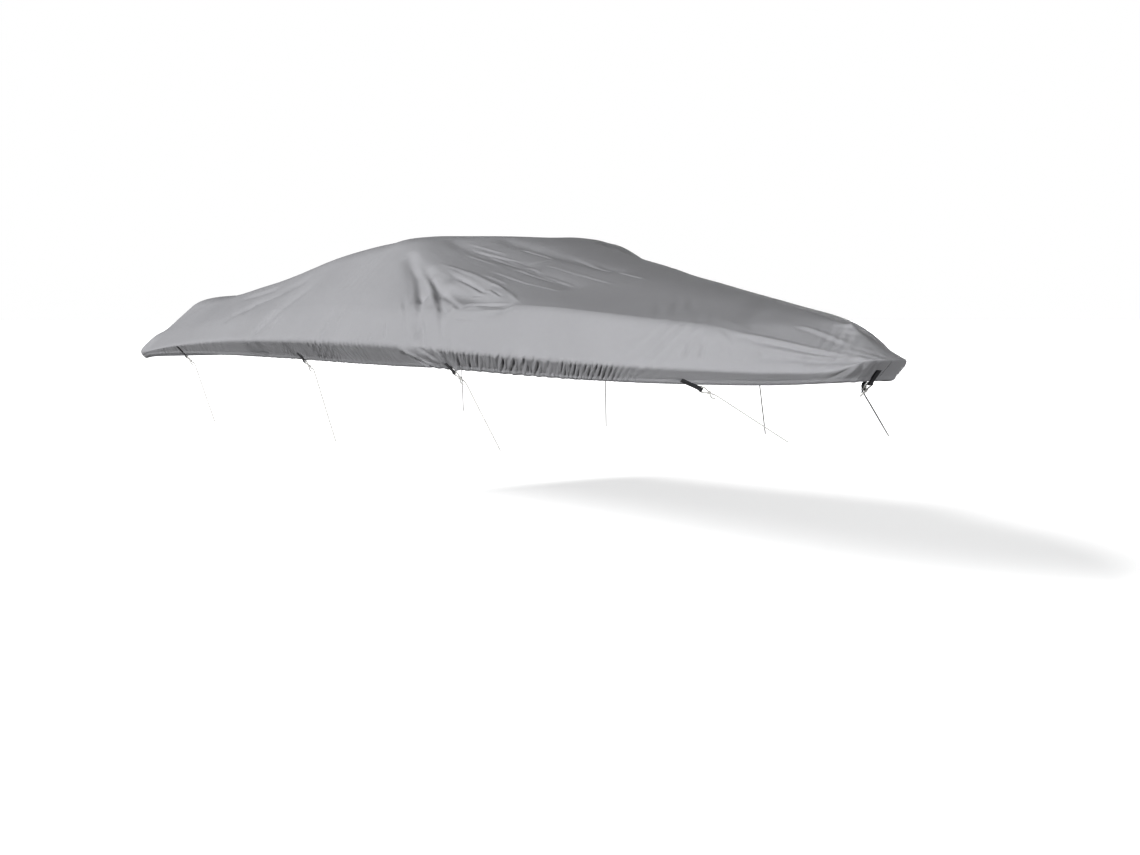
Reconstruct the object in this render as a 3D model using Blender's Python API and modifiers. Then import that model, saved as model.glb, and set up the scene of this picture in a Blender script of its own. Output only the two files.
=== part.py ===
"""Fitted boat cover: a hollow draped shell of a top panel and two side panels,
with webbing loops, knots and tie cords round its hem. Sizes in metres."""

import math
from collections import namedtuple

import bmesh
import bpy
import numpy as np

COLLECTION = "boat_cover"

# ---- the frame: +X to the bow, +Y to port, +Z up, origin under the crest ----
CREST_X = 3.85          # the crest's place, measured from the transom
CREST_Z = 0.786         # the underside of the crest above the hem's lowest line

# ---- cloth ----
CLOTH_THICK = 0.002
SEAM_GAP = 0.0018       # between the cut edges of two sewn panels
END_GAP = 0.005         # half the gap of the bow and stern seams, in rows of the table
HEM_TUCK = 0.85         # how far the hem's cord draws the skirt in, as a share of its height
BOW_TUCK = 0.018        # and how much further under the nose
BOW_ROWS = 1.4          # the reach of that, in rows of the table

# rounding of the section at each of its corners, as a share of the leg
RAIL_ROUND = 0.14
SIDE_ROUND = 0.34
FORE_ROUND = 0.20       # of the side's corner by the foredeck, where it is crisper
FORE_ROWS = (7.0, 9.0)  # the rows between which the one turns into the other
EDGE_ROUND = 0.26
TENT_ROUND = 0.12       # of the tent's upper corner at its front, where it is crisper
TENT_ROWS = (6.2, 11.0) # the rows between which it is so
TENT_SOFT = 1.2         # and the rows over which the one turns into the other
SPINE_ROUND = 0.5
ROW_STEP = 0.01         # steps, in rows and in corners, for the cloth's directions
CLOTH_STEP = 0.004
LEVEL = 1e-9            # gives the two end points of the spine a level cloth

# A row for each section, from the middle of the bow round one side to the middle of
# the stern. x runs from the transom, out from the centreline, z from the hem's lowest
# line. rail is where the cloth turns down over the gunwale, side the shoulder seam,
# edge the upper corner of the tent, spine its middle line.
Section = namedtuple("Section", (
    "rail_x", "rail_out", "rail_z", "hem_z", "side_x", "side_out", "side_z",
    "edge_x", "edge_out", "edge_z", "spine_x", "spine_z"))
SECTIONS = [Section(*row) for row in (
    (6.67, 0.00, 0.122, 0.025, 6.63, 0.00, 0.146, 6.48, 0.00, 0.230, 6.40, 0.300),
    (6.64, 0.13, 0.120, 0.025, 6.60, 0.11, 0.142, 6.45, 0.06, 0.228, 6.37, 0.302),
    (6.53, 0.23, 0.075, 0.020, 6.50, 0.20, 0.145, 6.36, 0.12, 0.246, 6.30, 0.312),
    (6.32, 0.40, 0.065, 0.005, 6.30, 0.34, 0.190, 6.20, 0.24, 0.283, 6.15, 0.340),
    (6.05, 0.59, 0.075, 0.002, 6.03, 0.50, 0.265, 5.98, 0.39, 0.306, 5.90, 0.388),
    (5.70, 0.81, 0.092, 0.008, 5.68, 0.70, 0.313, 5.64, 0.59, 0.342, 5.55, 0.465),
    (5.30, 0.99, 0.115, 0.020, 5.28, 0.87, 0.355, 5.25, 0.76, 0.385, 5.15, 0.558),
    (4.90, 1.11, 0.135, 0.035, 4.90, 0.99, 0.368, 4.88, 0.85, 0.430, 4.75, 0.650),
    (4.50, 1.18, 0.155, 0.045, 4.50, 1.07, 0.362, 4.50, 0.84, 0.512, 4.40, 0.728),
    (4.10, 1.22, 0.163, 0.046, 4.10, 1.12, 0.362, 4.05, 0.81, 0.610, 4.20, 0.786),
    (3.75, 1.235, 0.167, 0.048, 3.75, 1.13, 0.367, 3.68, 0.78, 0.768, 3.98, 0.792),
    (3.35, 1.24, 0.169, 0.050, 3.35, 1.13, 0.372, 3.35, 0.77, 0.762, 3.55, 0.785),
    (2.80, 1.24, 0.167, 0.052, 2.80, 1.12, 0.362, 2.80, 0.77, 0.718, 2.90, 0.745),
    (2.10, 1.24, 0.157, 0.054, 2.10, 1.10, 0.332, 2.10, 0.77, 0.607, 2.20, 0.640),
    (1.40, 1.23, 0.128, 0.048, 1.40, 1.08, 0.287, 1.42, 0.76, 0.527, 1.50, 0.556),
    (0.80, 1.22, 0.090, 0.035, 0.80, 1.06, 0.237, 0.84, 0.75, 0.470, 0.95, 0.510),
    (0.35, 1.20, 0.050, 0.015, 0.38, 1.04, 0.202, 0.43, 0.73, 0.463, 0.70, 0.500),
    (0.10, 1.13, 0.038, 0.000, 0.14, 1.00, 0.188, 0.22, 0.71, 0.460, 0.60, 0.495),
    (0.00, 0.95, 0.038, 0.000, 0.05, 0.86, 0.202, 0.16, 0.62, 0.463, 0.55, 0.493),
    (0.00, 0.50, 0.040, 0.000, 0.06, 0.46, 0.212, 0.17, 0.35, 0.468, 0.52, 0.492),
    (0.00, 0.00, 0.040, 0.000, 0.06, 0.00, 0.212, 0.17, 0.00, 0.470, 0.50, 0.491),
)]
HEM, RAIL, SIDE, EDGE, SPINE = range(5)     # the corners of a section, from the hem up
LAST_PLACE = len(SECTIONS) - 1
SIDE_END = 17           # the row where the rail turns from the side into the stern
ROW_PARTS = 40          # fine steps to a row, where the rail is measured


def column(name, mirrored_sign):
    """A column of the table, with one row of the mirrored half past each end."""
    values = np.array([getattr(row, name) for row in SECTIONS])
    return np.concatenate(([mirrored_sign * values[1]], values, [mirrored_sign * values[-2]]))


def smooth(values, place):
    """Catmull-Rom curve through a padded column at places counted in rows."""
    row = np.clip(np.floor(place).astype(int), 0, LAST_PLACE - 1)
    t = place - row
    a, b, c, d = values[row], values[row + 1], values[row + 2], values[row + 3]
    return 0.5 * (2 * b + (c - a) * t + (2 * a - 5 * b + 4 * c - d) * t ** 2
                  + (3 * b - a - 3 * c + d) * t ** 3)


def curve(prefix, place):
    """One long line of the cover, as x, out and z at the places."""
    x = smooth(column(prefix + "_x", 1), place)
    z = smooth(column(prefix + "_z", 1), place)
    if prefix == "spine":
        return np.stack([x, np.zeros_like(x), z], -1)
    return np.stack([x, smooth(column(prefix + "_out", -1), place), z], -1)


def corners(place):
    """The five corners of the section at each place, hem to spine."""
    rail = curve("rail", place)
    ahead = curve("rail", np.clip(place + ROW_STEP, 0, LAST_PLACE))
    behind = curve("rail", np.clip(place - ROW_STEP, 0, LAST_PLACE))
    tangent = ahead - behind
    tangent /= np.hypot(tangent[..., 0], tangent[..., 1])[..., None]
    hem_z = smooth(column("hem_z", 1), place)
    tuck = HEM_TUCK * (rail[..., 2] - hem_z) + BOW_TUCK * np.exp(-(place / BOW_ROWS) ** 2)
    hem = rail.copy()
    hem[..., 0] -= tuck * tangent[..., 1]
    hem[..., 1] += tuck * tangent[..., 0]
    hem[..., 2] = hem_z
    side, edge, spine = (curve(name, place) for name in ("side", "edge", "spine"))
    return np.stack([hem, rail, side, edge, spine], -2)


def chosen_corner(corner, index):
    """The corner of each section that index names."""
    return np.take_along_axis(corner, index[..., None, None], -2)[..., 0, :]


def side_rounding(place):
    """The rounding of the side's corner at each place."""
    t = np.clip((place - FORE_ROWS[0]) / (FORE_ROWS[1] - FORE_ROWS[0]), 0, 1)
    return FORE_ROUND + (SIDE_ROUND - FORE_ROUND) * t ** 2 * (3 - 2 * t)


def edge_rounding(place):
    """The rounding of the tent's upper corner at each place."""
    t = np.minimum(place - TENT_ROWS[0], TENT_ROWS[1] - place)
    t = np.clip(t / TENT_SOFT, 0, 1)
    return EDGE_ROUND + (TENT_ROUND - EDGE_ROUND) * t ** 2 * (3 - 2 * t)


def section_points(corner, up, side_reach, edge_reach):
    """Points of the rounded section; up counts corners from the hem, 0, to the spine, 4."""
    leg = np.clip(np.floor(up).astype(int), HEM, EDGE)
    t = (up - leg)[..., None]
    points = (1 - t) * chosen_corner(corner, leg) + t * chosen_corner(corner, leg + 1)
    across = corner[..., EDGE, :] * (1, -1, 1)
    for index, share in ((RAIL, RAIL_ROUND), (SIDE, side_reach), (EDGE, edge_reach),
                         (SPINE, SPINE_ROUND)):
        reach = np.broadcast_to(share, up.shape)[..., None]
        here, below = corner[..., index, :], corner[..., index - 1, :]
        above = across if index == SPINE else corner[..., index + 1, :]
        s = (up - index)[..., None] / (2 * reach) + 0.5
        start, end = here + reach * (below - here), here + reach * (above - here)
        bend = (1 - s) ** 2 * start + 2 * s * (1 - s) * here + s ** 2 * end
        points = np.where(abs(s - 0.5) < 0.5, bend, points)
    return points


STARBOARD, PORT = -1, 1

# A row for each main fold: a soft ridge, or a trough where height is negative, from one
# point of the cloth to another. x, out and z as in SECTIONS, out to port where positive.
Fold = namedtuple("Fold", "x0 out0 z0 x1 out1 z1 width height")
STARBOARD_FOLDS = [Fold(*row) for row in (
    (3.84, -0.86, 0.64, 4.25, -1.02, 0.42, 0.060, -0.020),     # from the screen's corner
    (4.25, -1.02, 0.42, 4.45, -1.14, 0.24, 0.050, -0.016),
    (4.45, -1.14, 0.24, 4.52, -1.17, 0.17, 0.040, -0.010),
    (4.05, -0.87, 0.56, 4.57, -1.06, 0.35, 0.060, -0.020),
    (4.15, -0.90, 0.52, 4.40, -1.02, 0.40, 0.050, 0.012),
    (4.33, -0.85, 0.52, 4.66, -0.87, 0.46, 0.055, -0.014),     # the hollow before the rail
    (4.40, -0.95, 0.45, 4.98, -0.96, 0.38, 0.080, -0.022),
    (2.57, -0.93, 0.53, 1.92, -1.03, 0.38, 0.070, -0.010),     # slanting down and aft
    (1.92, -1.03, 0.38, 1.71, -1.09, 0.30, 0.060, -0.008),
    (2.78, -1.01, 0.47, 2.41, -1.22, 0.19, 0.060, -0.010),
    (3.43, -1.15, 0.33, 3.43, -1.22, 0.20, 0.050, -0.008),
    (3.90, -0.58, 0.74, 4.50, -0.51, 0.60, 0.080, -0.010),     # along the dark top
    (4.02, -0.31, 0.74, 4.90, -0.20, 0.57, 0.080, -0.010),
    (4.67, -0.54, 0.54, 5.01, -0.56, 0.47, 0.080, -0.008),
    (6.27, -0.40, 0.135, 6.58, -0.16, 0.13, 0.030, -0.007),    # drawn to the nose's corner
    (6.42, -0.29, 0.115, 6.62, -0.15, 0.11, 0.025, -0.006),
    (4.34, -1.19, 0.135, 4.64, -1.13, 0.06, 0.035, 0.012),     # twisted down to a tie
)]
PORT_FOLDS = [Fold(*row) for row in (
    (3.88, 0.86, 0.63, 4.20, 1.00, 0.44, 0.065, -0.018),
    (4.20, 1.00, 0.44, 4.36, 1.14, 0.24, 0.055, -0.014),
    (4.12, 0.86, 0.55, 4.66, 1.04, 0.35, 0.065, -0.018),
    (4.44, 0.94, 0.45, 5.04, 0.94, 0.38, 0.080, -0.020),
    (2.40, 0.95, 0.50, 1.80, 1.06, 0.34, 0.070, -0.010),
    (3.00, 1.02, 0.48, 2.64, 1.22, 0.20, 0.060, -0.010),
    (3.96, 0.46, 0.75, 4.62, 0.40, 0.60, 0.080, -0.010),
    (6.20, 0.46, 0.16, 6.57, 0.17, 0.13, 0.030, -0.007),
    (4.30, 1.20, 0.135, 4.60, 1.13, 0.06, 0.035, 0.012),
    (3.94, 0.30, 0.79, 3.86, 0.46, 0.79, 0.240, 0.014),
    (3.72, -0.82, 0.75, 3.66, -0.72, 0.77, 0.140, -0.014),
    (4.25, 0.36, 0.68, 4.62, 0.34, 0.62, 0.240, 0.012),
    (0.14, -1.15, 0.05, 0.24, -1.10, 0.15, 0.110, 0.030),
)]

# A row for each gathered stretch of the skirt, in metres along the rail from the bow.
Gather = namedtuple("Gather", "side start end pitch depth")
GATHERS = [Gather(*row) for row in (
    (STARBOARD, 1.40, 2.62, 0.080, 0.0075),
    (STARBOARD, 3.35, 4.75, 0.110, 0.0045),
    (PORT, 1.55, 2.80, 0.085, 0.0075),
    (PORT, 3.50, 4.60, 0.115, 0.0045),
)]
BELL = 2                # how quickly a fold dies out beside its line
GATHER_FADE = 0.15      # the length over which a gathered stretch begins and ends
GATHER_TOP = 1.25       # where the gathers have died out above the rail, in corners
GATHER_SOFT = 0.4       # the height over which they die out, in corners
DRIFT = (1.1, 7.3)      # how much the gathers' spacing wanders, and how fast along the rail
SWELL = (0.25, 11.0)    # and the same for their depth


def fold_height(points):
    """Height of all folds at the points: each a bell across its line, faded at its ends."""
    height = np.zeros(points.shape[:-1])
    for fold in STARBOARD_FOLDS + PORT_FOLDS:
        start, end = np.array(fold[0:3]), np.array(fold[3:6])
        line = end - start
        share = np.clip(((points - start) @ line) / (line @ line), 0, 1)
        reach = np.linalg.norm(points - start - share[..., None] * line, axis=-1)
        height += fold.height * np.exp(-BELL * (reach / fold.width) ** 2)
    return height


def gather_height(distance, up, side):
    """Puckers of the skirt where the hem's cord bunches it, as uneven waves along the rail."""
    height = np.zeros(np.broadcast(distance, up).shape)
    for gather in GATHERS:
        inside = np.clip((distance - gather.start) / GATHER_FADE, 0, 1)
        inside = inside * np.clip((gather.end - distance) / GATHER_FADE, 0, 1)
        phase = 2 * math.pi * distance / gather.pitch + DRIFT[0] * np.sin(distance * DRIFT[1])
        wave = np.sin(phase) * (1 - SWELL[0] + SWELL[0] * np.sin(distance * SWELL[1]))
        fade = np.clip((GATHER_TOP - up) / GATHER_SOFT, 0, 1)
        height += (side == gather.side) * gather.depth * wave * inside * fade
    return height


def rail_distance():
    """Places along the rail and their distance from the bow's middle."""
    place = np.linspace(0, LAST_PLACE, LAST_PLACE * ROW_PARTS + 1)
    rail = curve("rail", place)
    steps = np.linalg.norm(np.diff(rail, axis=0), axis=1)
    return place, np.concatenate(([0.0], np.cumsum(steps)))


def plain_points(place, up, side):
    """The cover on one side without its folds, in the table's own axes."""
    place = np.clip(place, 0, LAST_PLACE)
    up = np.clip(up, HEM, SPINE)
    return section_points(corners(place), up, side_rounding(place), edge_rounding(place)) * (1, side, 1)


def cloth_points(place, up, side):
    """Outer face of the draped cloth on one side of the boat, in the frame."""
    places, distances = rail_distance()
    distance = np.interp(place, places, distances)
    along = plain_points(place + CLOTH_STEP, up, side) - plain_points(place - CLOTH_STEP, up, side)
    rise = plain_points(place, up + CLOTH_STEP, side) - plain_points(place, up - CLOTH_STEP, side)
    normal = np.cross(along, rise) * side
    middle = (place <= 0) | (place >= LAST_PLACE) | (up >= SPINE)
    normal[..., 1] = np.where(middle, 0, normal[..., 1])
    normal[..., 2] += LEVEL
    normal /= np.linalg.norm(normal, axis=-1)[..., None]
    points = plain_points(place, up, side)
    height = fold_height(points) + gather_height(distance, up, side)
    points = points + normal * height[..., None]
    return points - (CREST_X, 0, CREST_Z)


# ---- meshes ----
# Mesh columns from each row of the table to the next, for the side panels and the top.
# Each number of the first is a multiple of the second's, so that the seam's corners meet.
SIDE_CUTS = (4, 3, 6, 6, 15, 18, 16, 15, 12, 10, 6, 6, 8, 4, 6, 4, 4, 3, 4, 4)
TOP_CUTS = (2, 3, 3, 3, 3, 3, 4, 5, 6, 5, 3, 3, 4, 4, 3, 2, 2, 3, 2, 2)
SIDE_LEVELS = (0.0, 0.25, 0.8, 1.06, 1.45, 2.0)
TOP_LEVELS = (2.0, 2.2, 2.45, 2.75, 2.9, 3.1, 3.4, 4.0)
WELD = 0.00001


def cut_places(cuts):
    """Places of the mesh columns."""
    rows = [np.linspace(row, row + 1, count, endpoint=False) for row, count in enumerate(cuts)]
    return np.append(np.concatenate(rows), LAST_PLACE)


def seam_level(place, toward):
    """The level of a panel's cut edge: half the seam's gap away from the side line."""
    corner = corners(place)
    leg = np.linalg.norm(corner[:, SIDE + toward] - corner[:, SIDE], axis=-1)
    return SIDE + toward * SEAM_GAP / 2 / leg


def grid_faces(columns, levels, flip, first=0):
    """Quads of a grid of points listed column by column."""
    faces = []
    for column_index in range(columns - 1):
        for level in range(levels - 1):
            a = first + column_index * levels + level
            quad = (a, a + levels, a + levels + 1, a + 1)
            faces.append(quad[::-1] if flip else quad)
    return faces


def weld(mesh):
    """Join the points of a mesh that lie in one place."""
    working = bmesh.new()
    working.from_mesh(mesh)
    bmesh.ops.remove_doubles(working, verts=working.verts, dist=WELD)
    working.to_mesh(mesh)
    working.free()


def cloth_object(name, points, faces, material):
    """A sheet of cloth: its outer face welded, then thickened inwards."""
    mesh = bpy.data.meshes.new(name)
    mesh.from_pydata([tuple(map(float, point)) for point in points], [], faces)
    weld(mesh)
    mesh.shade_smooth()
    mesh.materials.append(material)
    cloth = bpy.data.objects.new(name, mesh)
    thicken = cloth.modifiers.new("thickness", "SOLIDIFY")
    thicken.thickness = CLOTH_THICK
    thicken.offset = -1
    return cloth


def side_panel(name, side, material):
    """A side panel: skirt, rail line and side, from the bow's seam to the stern's."""
    place = cut_places(SIDE_CUTS)
    place[0] += END_GAP
    place[-1] -= END_GAP
    level = np.tile(np.array(SIDE_LEVELS), (len(place), 1))
    level[:, -1] = seam_level(place, -1)
    places = np.broadcast_to(place[:, None], level.shape)
    points = cloth_points(places, level, side)
    corner = cut_places(TOP_CUTS)
    seam = cloth_points(corner, seam_level(corner, -1), side)
    points[:, -1] = np.stack([np.interp(place, corner, seam[:, axis]) for axis in range(3)], -1)
    faces = grid_faces(len(place), len(SIDE_LEVELS), side == STARBOARD)
    return cloth_object(name, points.reshape(-1, 3), faces, material)


def top_panel(name, material):
    """The top panel: both halves of the tent, welded along the spine and at its ends."""
    place = cut_places(TOP_CUTS)
    level = np.tile(np.array(TOP_LEVELS), (len(place), 1))
    level[:, 0] = seam_level(place, 1)
    places = np.broadcast_to(place[:, None], level.shape)
    points, faces = [], []
    for side in (STARBOARD, PORT):
        faces += grid_faces(len(place), len(TOP_LEVELS), side == STARBOARD, len(points))
        points += list(cloth_points(places, level, side).reshape(-1, 3))
    return cloth_object(name, points, faces, material)


# ---- ties: a webbing loop on the skirt, a knot through it, and a cord ----
STRAP_WIDE = 0.025
STRAP_THICK = 0.0014
STRAP_APART = 0.0022    # between the middles of the strap's two layers
STRAP_CLEAR = 0.0020    # between the strap and the cloth under it
STRAP_STEEP = 1.6       # the strap falls this much more steeply than its cord
EYE_RADIUS = 0.007      # of the strap's round end, at its middle
CORD_THICK = 0.006
PATCH_REACH = 0.20      # rows of cloth each side of a strap that it must lie clear of
PATCH_COLUMNS = 13      # points of that patch of cloth, along the boat and up it
PATCH_LEVELS = 7
LIP_ANGLE = 145         # degrees round the eye from its foot to the strap's neck
EYE_STEPS = 11          # points round the eye
NECK = 2.1              # from the eye's middle to the neck, in eye radii
UNDER_LAYER = 0.94      # length of the strap's under layer against its outer one
CORD_STEP = 0.017       # between the points of a cord
CORD_START = 0.03       # the straight length with which a cord leaves its knot
CORD_ROUNDNESS = 2
KNOT_STEP = 0.009       # between the points of the cord in a knot
KNOT_ROUNDNESS = 1
KNOT_RADIUS = 0.0095
KNOT_HALF = 0.013       # half the knot's length
KNOT_DROP = 0.040       # from the eye's middle to the knot's middle
KNOT_GAP = 0.0006       # between the knot and its cord
TURN_RIDGE = 0.13       # how far the knot's turns stand out, as a share of its radius
TURNS = 1.25            # of the cord round the knot

# A row for each tie of one side: x of the strap, the level of its top on the skirt, its
# length to the eye, and the run of its cord from the knot: forward, inboard and down.
Tie = namedtuple("Tie", "x level strap forward inboard down")
SIDE_TIES = [Tie(*row) for row in (
    (1.05, 0.90, 0.100, 0.160, 0.080, 0.410),
    (3.03, 0.42, 0.070, 0.120, 0.080, 0.425),
    (4.67, 0.38, 0.068, 0.170, 0.100, 0.340),
    (5.97, 0.30, 0.100, 0.310, 0.150, 0.197),
)]
BOW_TIE = Tie(6.668, 0.55, 0.088, -0.060, 0.010, 0.080)     # its knot carries no long cord
PORT_SHIFT = 0.03       # the far side's ties sit this much further forward

# The bight of cord through the eye: across and below the eye's middle.
BIGHT = (
    (-0.0030, 0.0360), (-0.0110, 0.0215), (-0.0172, 0.0090), (-0.0160, 0.0015),
    (-0.0090, 0.0000), (0.0090, 0.0000), (0.0160, 0.0015), (0.0172, 0.0090),
    (0.0110, 0.0215), (0.0030, 0.0360),
)
# The cut tail that stands out of the knot: across, below the eye, and outward.
TAIL = ((0.0030, 0.0400, 0.0030), (0.0110, 0.0500, 0.0080), (0.0150, 0.0640, 0.0090),
        (0.0130, 0.0790, 0.0060))


def place_of(x):
    """The place on the rail at a distance x from the transom."""
    place = np.linspace(0, SIDE_END, SIDE_END * ROW_PARTS + 1)
    return float(np.interp(-x, -curve("rail", place)[:, 0], place))


def tie_frame(tie, side):
    """Where a tie's eye is, with unit vectors down the strap, outward and across it."""
    place = place_of(tie.x)
    near = place + np.linspace(-PATCH_REACH, PATCH_REACH, PATCH_COLUMNS)[:, None]
    levels = np.linspace(0, tie.level, PATCH_LEVELS)
    patch = cloth_points(*np.broadcast_arrays(abs(near), levels), side)
    middle_column, middle_level = PATCH_COLUMNS // 2, PATCH_LEVELS // 2
    low, high = patch[middle_column, 0], patch[middle_column, -1]
    along = patch[0, middle_level] - patch[-1, middle_level]
    out = np.cross(along, low - high) * side
    out /= np.linalg.norm(out)
    stand = ((patch - high) @ out).max() + STRAP_CLEAR + (STRAP_APART + STRAP_THICK) / 2
    run = np.array((tie.forward, -side * tie.inboard, -tie.down * STRAP_STEEP))
    down = run - out * (run @ out)
    down /= np.linalg.norm(down)
    eye = high + out * stand + down * tie.strap
    return eye, down, out, np.cross(down, out) * -side


def strap_path(length):
    """The folded strap from its top down round the eye and back, as down and out."""
    half, neck = STRAP_APART / 2, -NECK * EYE_RADIUS
    angles = np.radians(np.linspace(LIP_ANGLE, -LIP_ANGLE, EYE_STEPS))
    ring = [(EYE_RADIUS * math.cos(angle), EYE_RADIUS * math.sin(angle)) for angle in angles]
    return [(-length, half), (neck, half)] + ring + [(neck, -half), (-length * UNDER_LAYER, -half)]


def strap_object(name, tie, side, material):
    """A webbing strap folded round its eye."""
    eye, down, out, across = tie_frame(tie, side)
    points = []
    for fall, lift in strap_path(tie.strap):
        for share in (-0.5, 0.5):
            points.append(eye + down * fall + out * lift + across * share * STRAP_WIDE)
    mesh = bpy.data.meshes.new(name)
    mesh.from_pydata([tuple(map(float, point)) for point in points], [],
                     grid_faces(len(points) // 2, 2, False))
    mesh.shade_smooth()
    mesh.materials.append(material)
    strap = bpy.data.objects.new(name, mesh)
    thicken = strap.modifiers.new("thickness", "SOLIDIFY")
    thicken.thickness = STRAP_THICK
    thicken.offset = 0
    return strap


def smooth_path(points, step):
    """Points at an even step along a Catmull-Rom curve through the given ones."""
    points = np.array(points, float)
    padded = np.vstack([2 * points[0] - points[1], points, 2 * points[-1] - points[-2]])
    place = np.linspace(0, len(points) - 1, ROW_PARTS * len(points))
    row = np.clip(place.astype(int), 0, len(points) - 2)
    t = (place - row)[:, None]
    a, b, c, d = padded[row], padded[row + 1], padded[row + 2], padded[row + 3]
    fine = 0.5 * (2 * b + (c - a) * t + (2 * a - 5 * b + 4 * c - d) * t ** 2
                  + (3 * b - a - 3 * c + d) * t ** 3)
    walked = np.concatenate(([0], np.cumsum(np.linalg.norm(np.diff(fine, axis=0), axis=1))))
    even = np.linspace(0, walked[-1], max(2, round(walked[-1] / step) + 1))
    return np.stack([np.interp(even, walked, fine[:, axis]) for axis in range(3)], -1)


def tube(name, points, diameter, roundness, material):
    """A round cord along the points, with closed ends."""
    data = bpy.data.curves.new(name, "CURVE")
    data.dimensions = "3D"
    data.bevel_depth = diameter / 2
    data.bevel_resolution = roundness
    data.use_fill_caps = True
    spline = data.splines.new("POLY")
    spline.points.add(len(points) - 1)
    for point, place in zip(spline.points, points):
        point.co = (*map(float, place), 1.0)
    data.materials.append(material)
    return bpy.data.objects.new(name, data)


def knot_lump(name, middle, down, out, across):
    """The wound middle of a knot: a ball drawn out along the cord, with its turns raised."""
    mesh = bpy.data.meshes.new(name)
    working = bmesh.new()
    bmesh.ops.create_uvsphere(working, u_segments=8, v_segments=7, radius=1)
    for vertex in working.verts:
        x, y, z = vertex.co
        girth = KNOT_RADIUS * (1 + TURN_RIDGE * math.cos(2 * math.pi * TURNS * z + x))
        place = middle + across * x * girth + out * y * girth - down * z * KNOT_HALF
        vertex.co = place
    bmesh.ops.recalc_face_normals(working, faces=working.faces)
    working.to_mesh(mesh)
    working.free()
    return bpy.data.objects.new(name, mesh)


def evaluated_mesh(thing):
    """The mesh that an object's curve or modifiers give."""
    bpy.context.view_layer.update()
    shown = thing.evaluated_get(bpy.context.evaluated_depsgraph_get())
    return bpy.data.meshes.new_from_object(shown)


def solid_of(cord):
    """A cord's curve as a mesh object with its caps welded, in the curve's place."""
    mesh = evaluated_mesh(cord)
    weld(mesh)
    solid = bpy.data.objects.new(cord.name + "_solid", mesh)
    solid.matrix_world = cord.matrix_world.copy()
    bpy.data.objects.remove(cord)
    return solid


def add_knot(name, tie, side, material, collection):
    """Add a knot with its bight through the strap's eye and its cut tail, as one solid."""
    eye, down, out, across = tie_frame(tie, side)
    bight = [eye + across * wide + down * fall for wide, fall in BIGHT]
    tail = [eye + across * wide + down * fall + out * lift for wide, fall, lift in TAIL]
    lump = knot_lump(name, eye + down * KNOT_DROP, down, out, across)
    collection.objects.link(lump)
    for label, points in (("bight", bight), ("tail", tail)):
        cord = tube(label, smooth_path(points, KNOT_STEP), CORD_THICK, KNOT_ROUNDNESS, material)
        collection.objects.link(cord)
        solid = solid_of(cord)
        collection.objects.link(solid)
        union = lump.modifiers.new(label, "BOOLEAN")
        union.operation = "UNION"
        union.solver = "EXACT"
        union.object = solid
        joined = evaluated_mesh(lump)
        lump.modifiers.clear()
        lump.data = joined
        bpy.data.objects.remove(solid)
    lump.data.shade_smooth()
    lump.data.materials.clear()
    lump.data.materials.append(material)


def cord_object(name, tie, side, material):
    """The tie's cord, from under its knot along its run."""
    eye, down, out, across = tie_frame(tie, side)
    start = eye + down * (KNOT_DROP + KNOT_HALF + KNOT_GAP)
    run = np.array((tie.forward, -side * tie.inboard, -tie.down))
    bend = start + down * CORD_START
    points = [start, bend] + [bend + run * share for share in (0.33, 0.66, 1.0)]
    return tube(name, smooth_path(points, CORD_STEP), CORD_THICK, CORD_ROUNDNESS, material)


def plain_material(name, colour, roughness):
    """A plain surface of one colour."""
    material = bpy.data.materials.new(name)
    material.use_nodes = True
    shader = material.node_tree.nodes["Principled BSDF"]
    shader.inputs["Base Color"].default_value = (*colour, 1.0)
    shader.inputs["Roughness"].default_value = roughness
    return material


def all_ties():
    """Every tie as its name, its row and its side."""
    ties = [("starboard_%d" % (index + 1), tie, STARBOARD) for index, tie in enumerate(SIDE_TIES)]
    for index, tie in enumerate(SIDE_TIES):
        ties.append(("port_%d" % (index + 1), tie._replace(x=tie.x + PORT_SHIFT), PORT))
    return ties


def main():
    for old in list(bpy.data.objects):
        bpy.data.objects.remove(old)
    collection = bpy.data.collections.new(COLLECTION)
    bpy.context.scene.collection.children.link(collection)
    cloth = plain_material("cloth_grey", (0.33, 0.33, 0.345), 0.85)
    webbing = plain_material("webbing_black", (0.02, 0.02, 0.022), 0.8)
    rope = plain_material("cord_white", (0.72, 0.71, 0.68), 0.8)
    collection.objects.link(top_panel("top_panel", cloth))
    collection.objects.link(side_panel("side_panel_starboard", STARBOARD, cloth))
    collection.objects.link(side_panel("side_panel_port", PORT, cloth))
    for label, tie, side in all_ties() + [("bow", BOW_TIE, STARBOARD)]:
        collection.objects.link(strap_object("webbing_loop_" + label, tie, side, webbing))
        add_knot("knot_" + label, tie, side, rope, collection)
    for label, tie, side in all_ties():
        collection.objects.link(cord_object("tie_cord_" + label, tie, side, rope))


main()
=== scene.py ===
"""Fitted boat cover: the draped cloth with its folds, gathers, seams and stitches, its
webbing loops, knots and tie cords. All lengths are metres."""

import math
from collections import namedtuple

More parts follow.
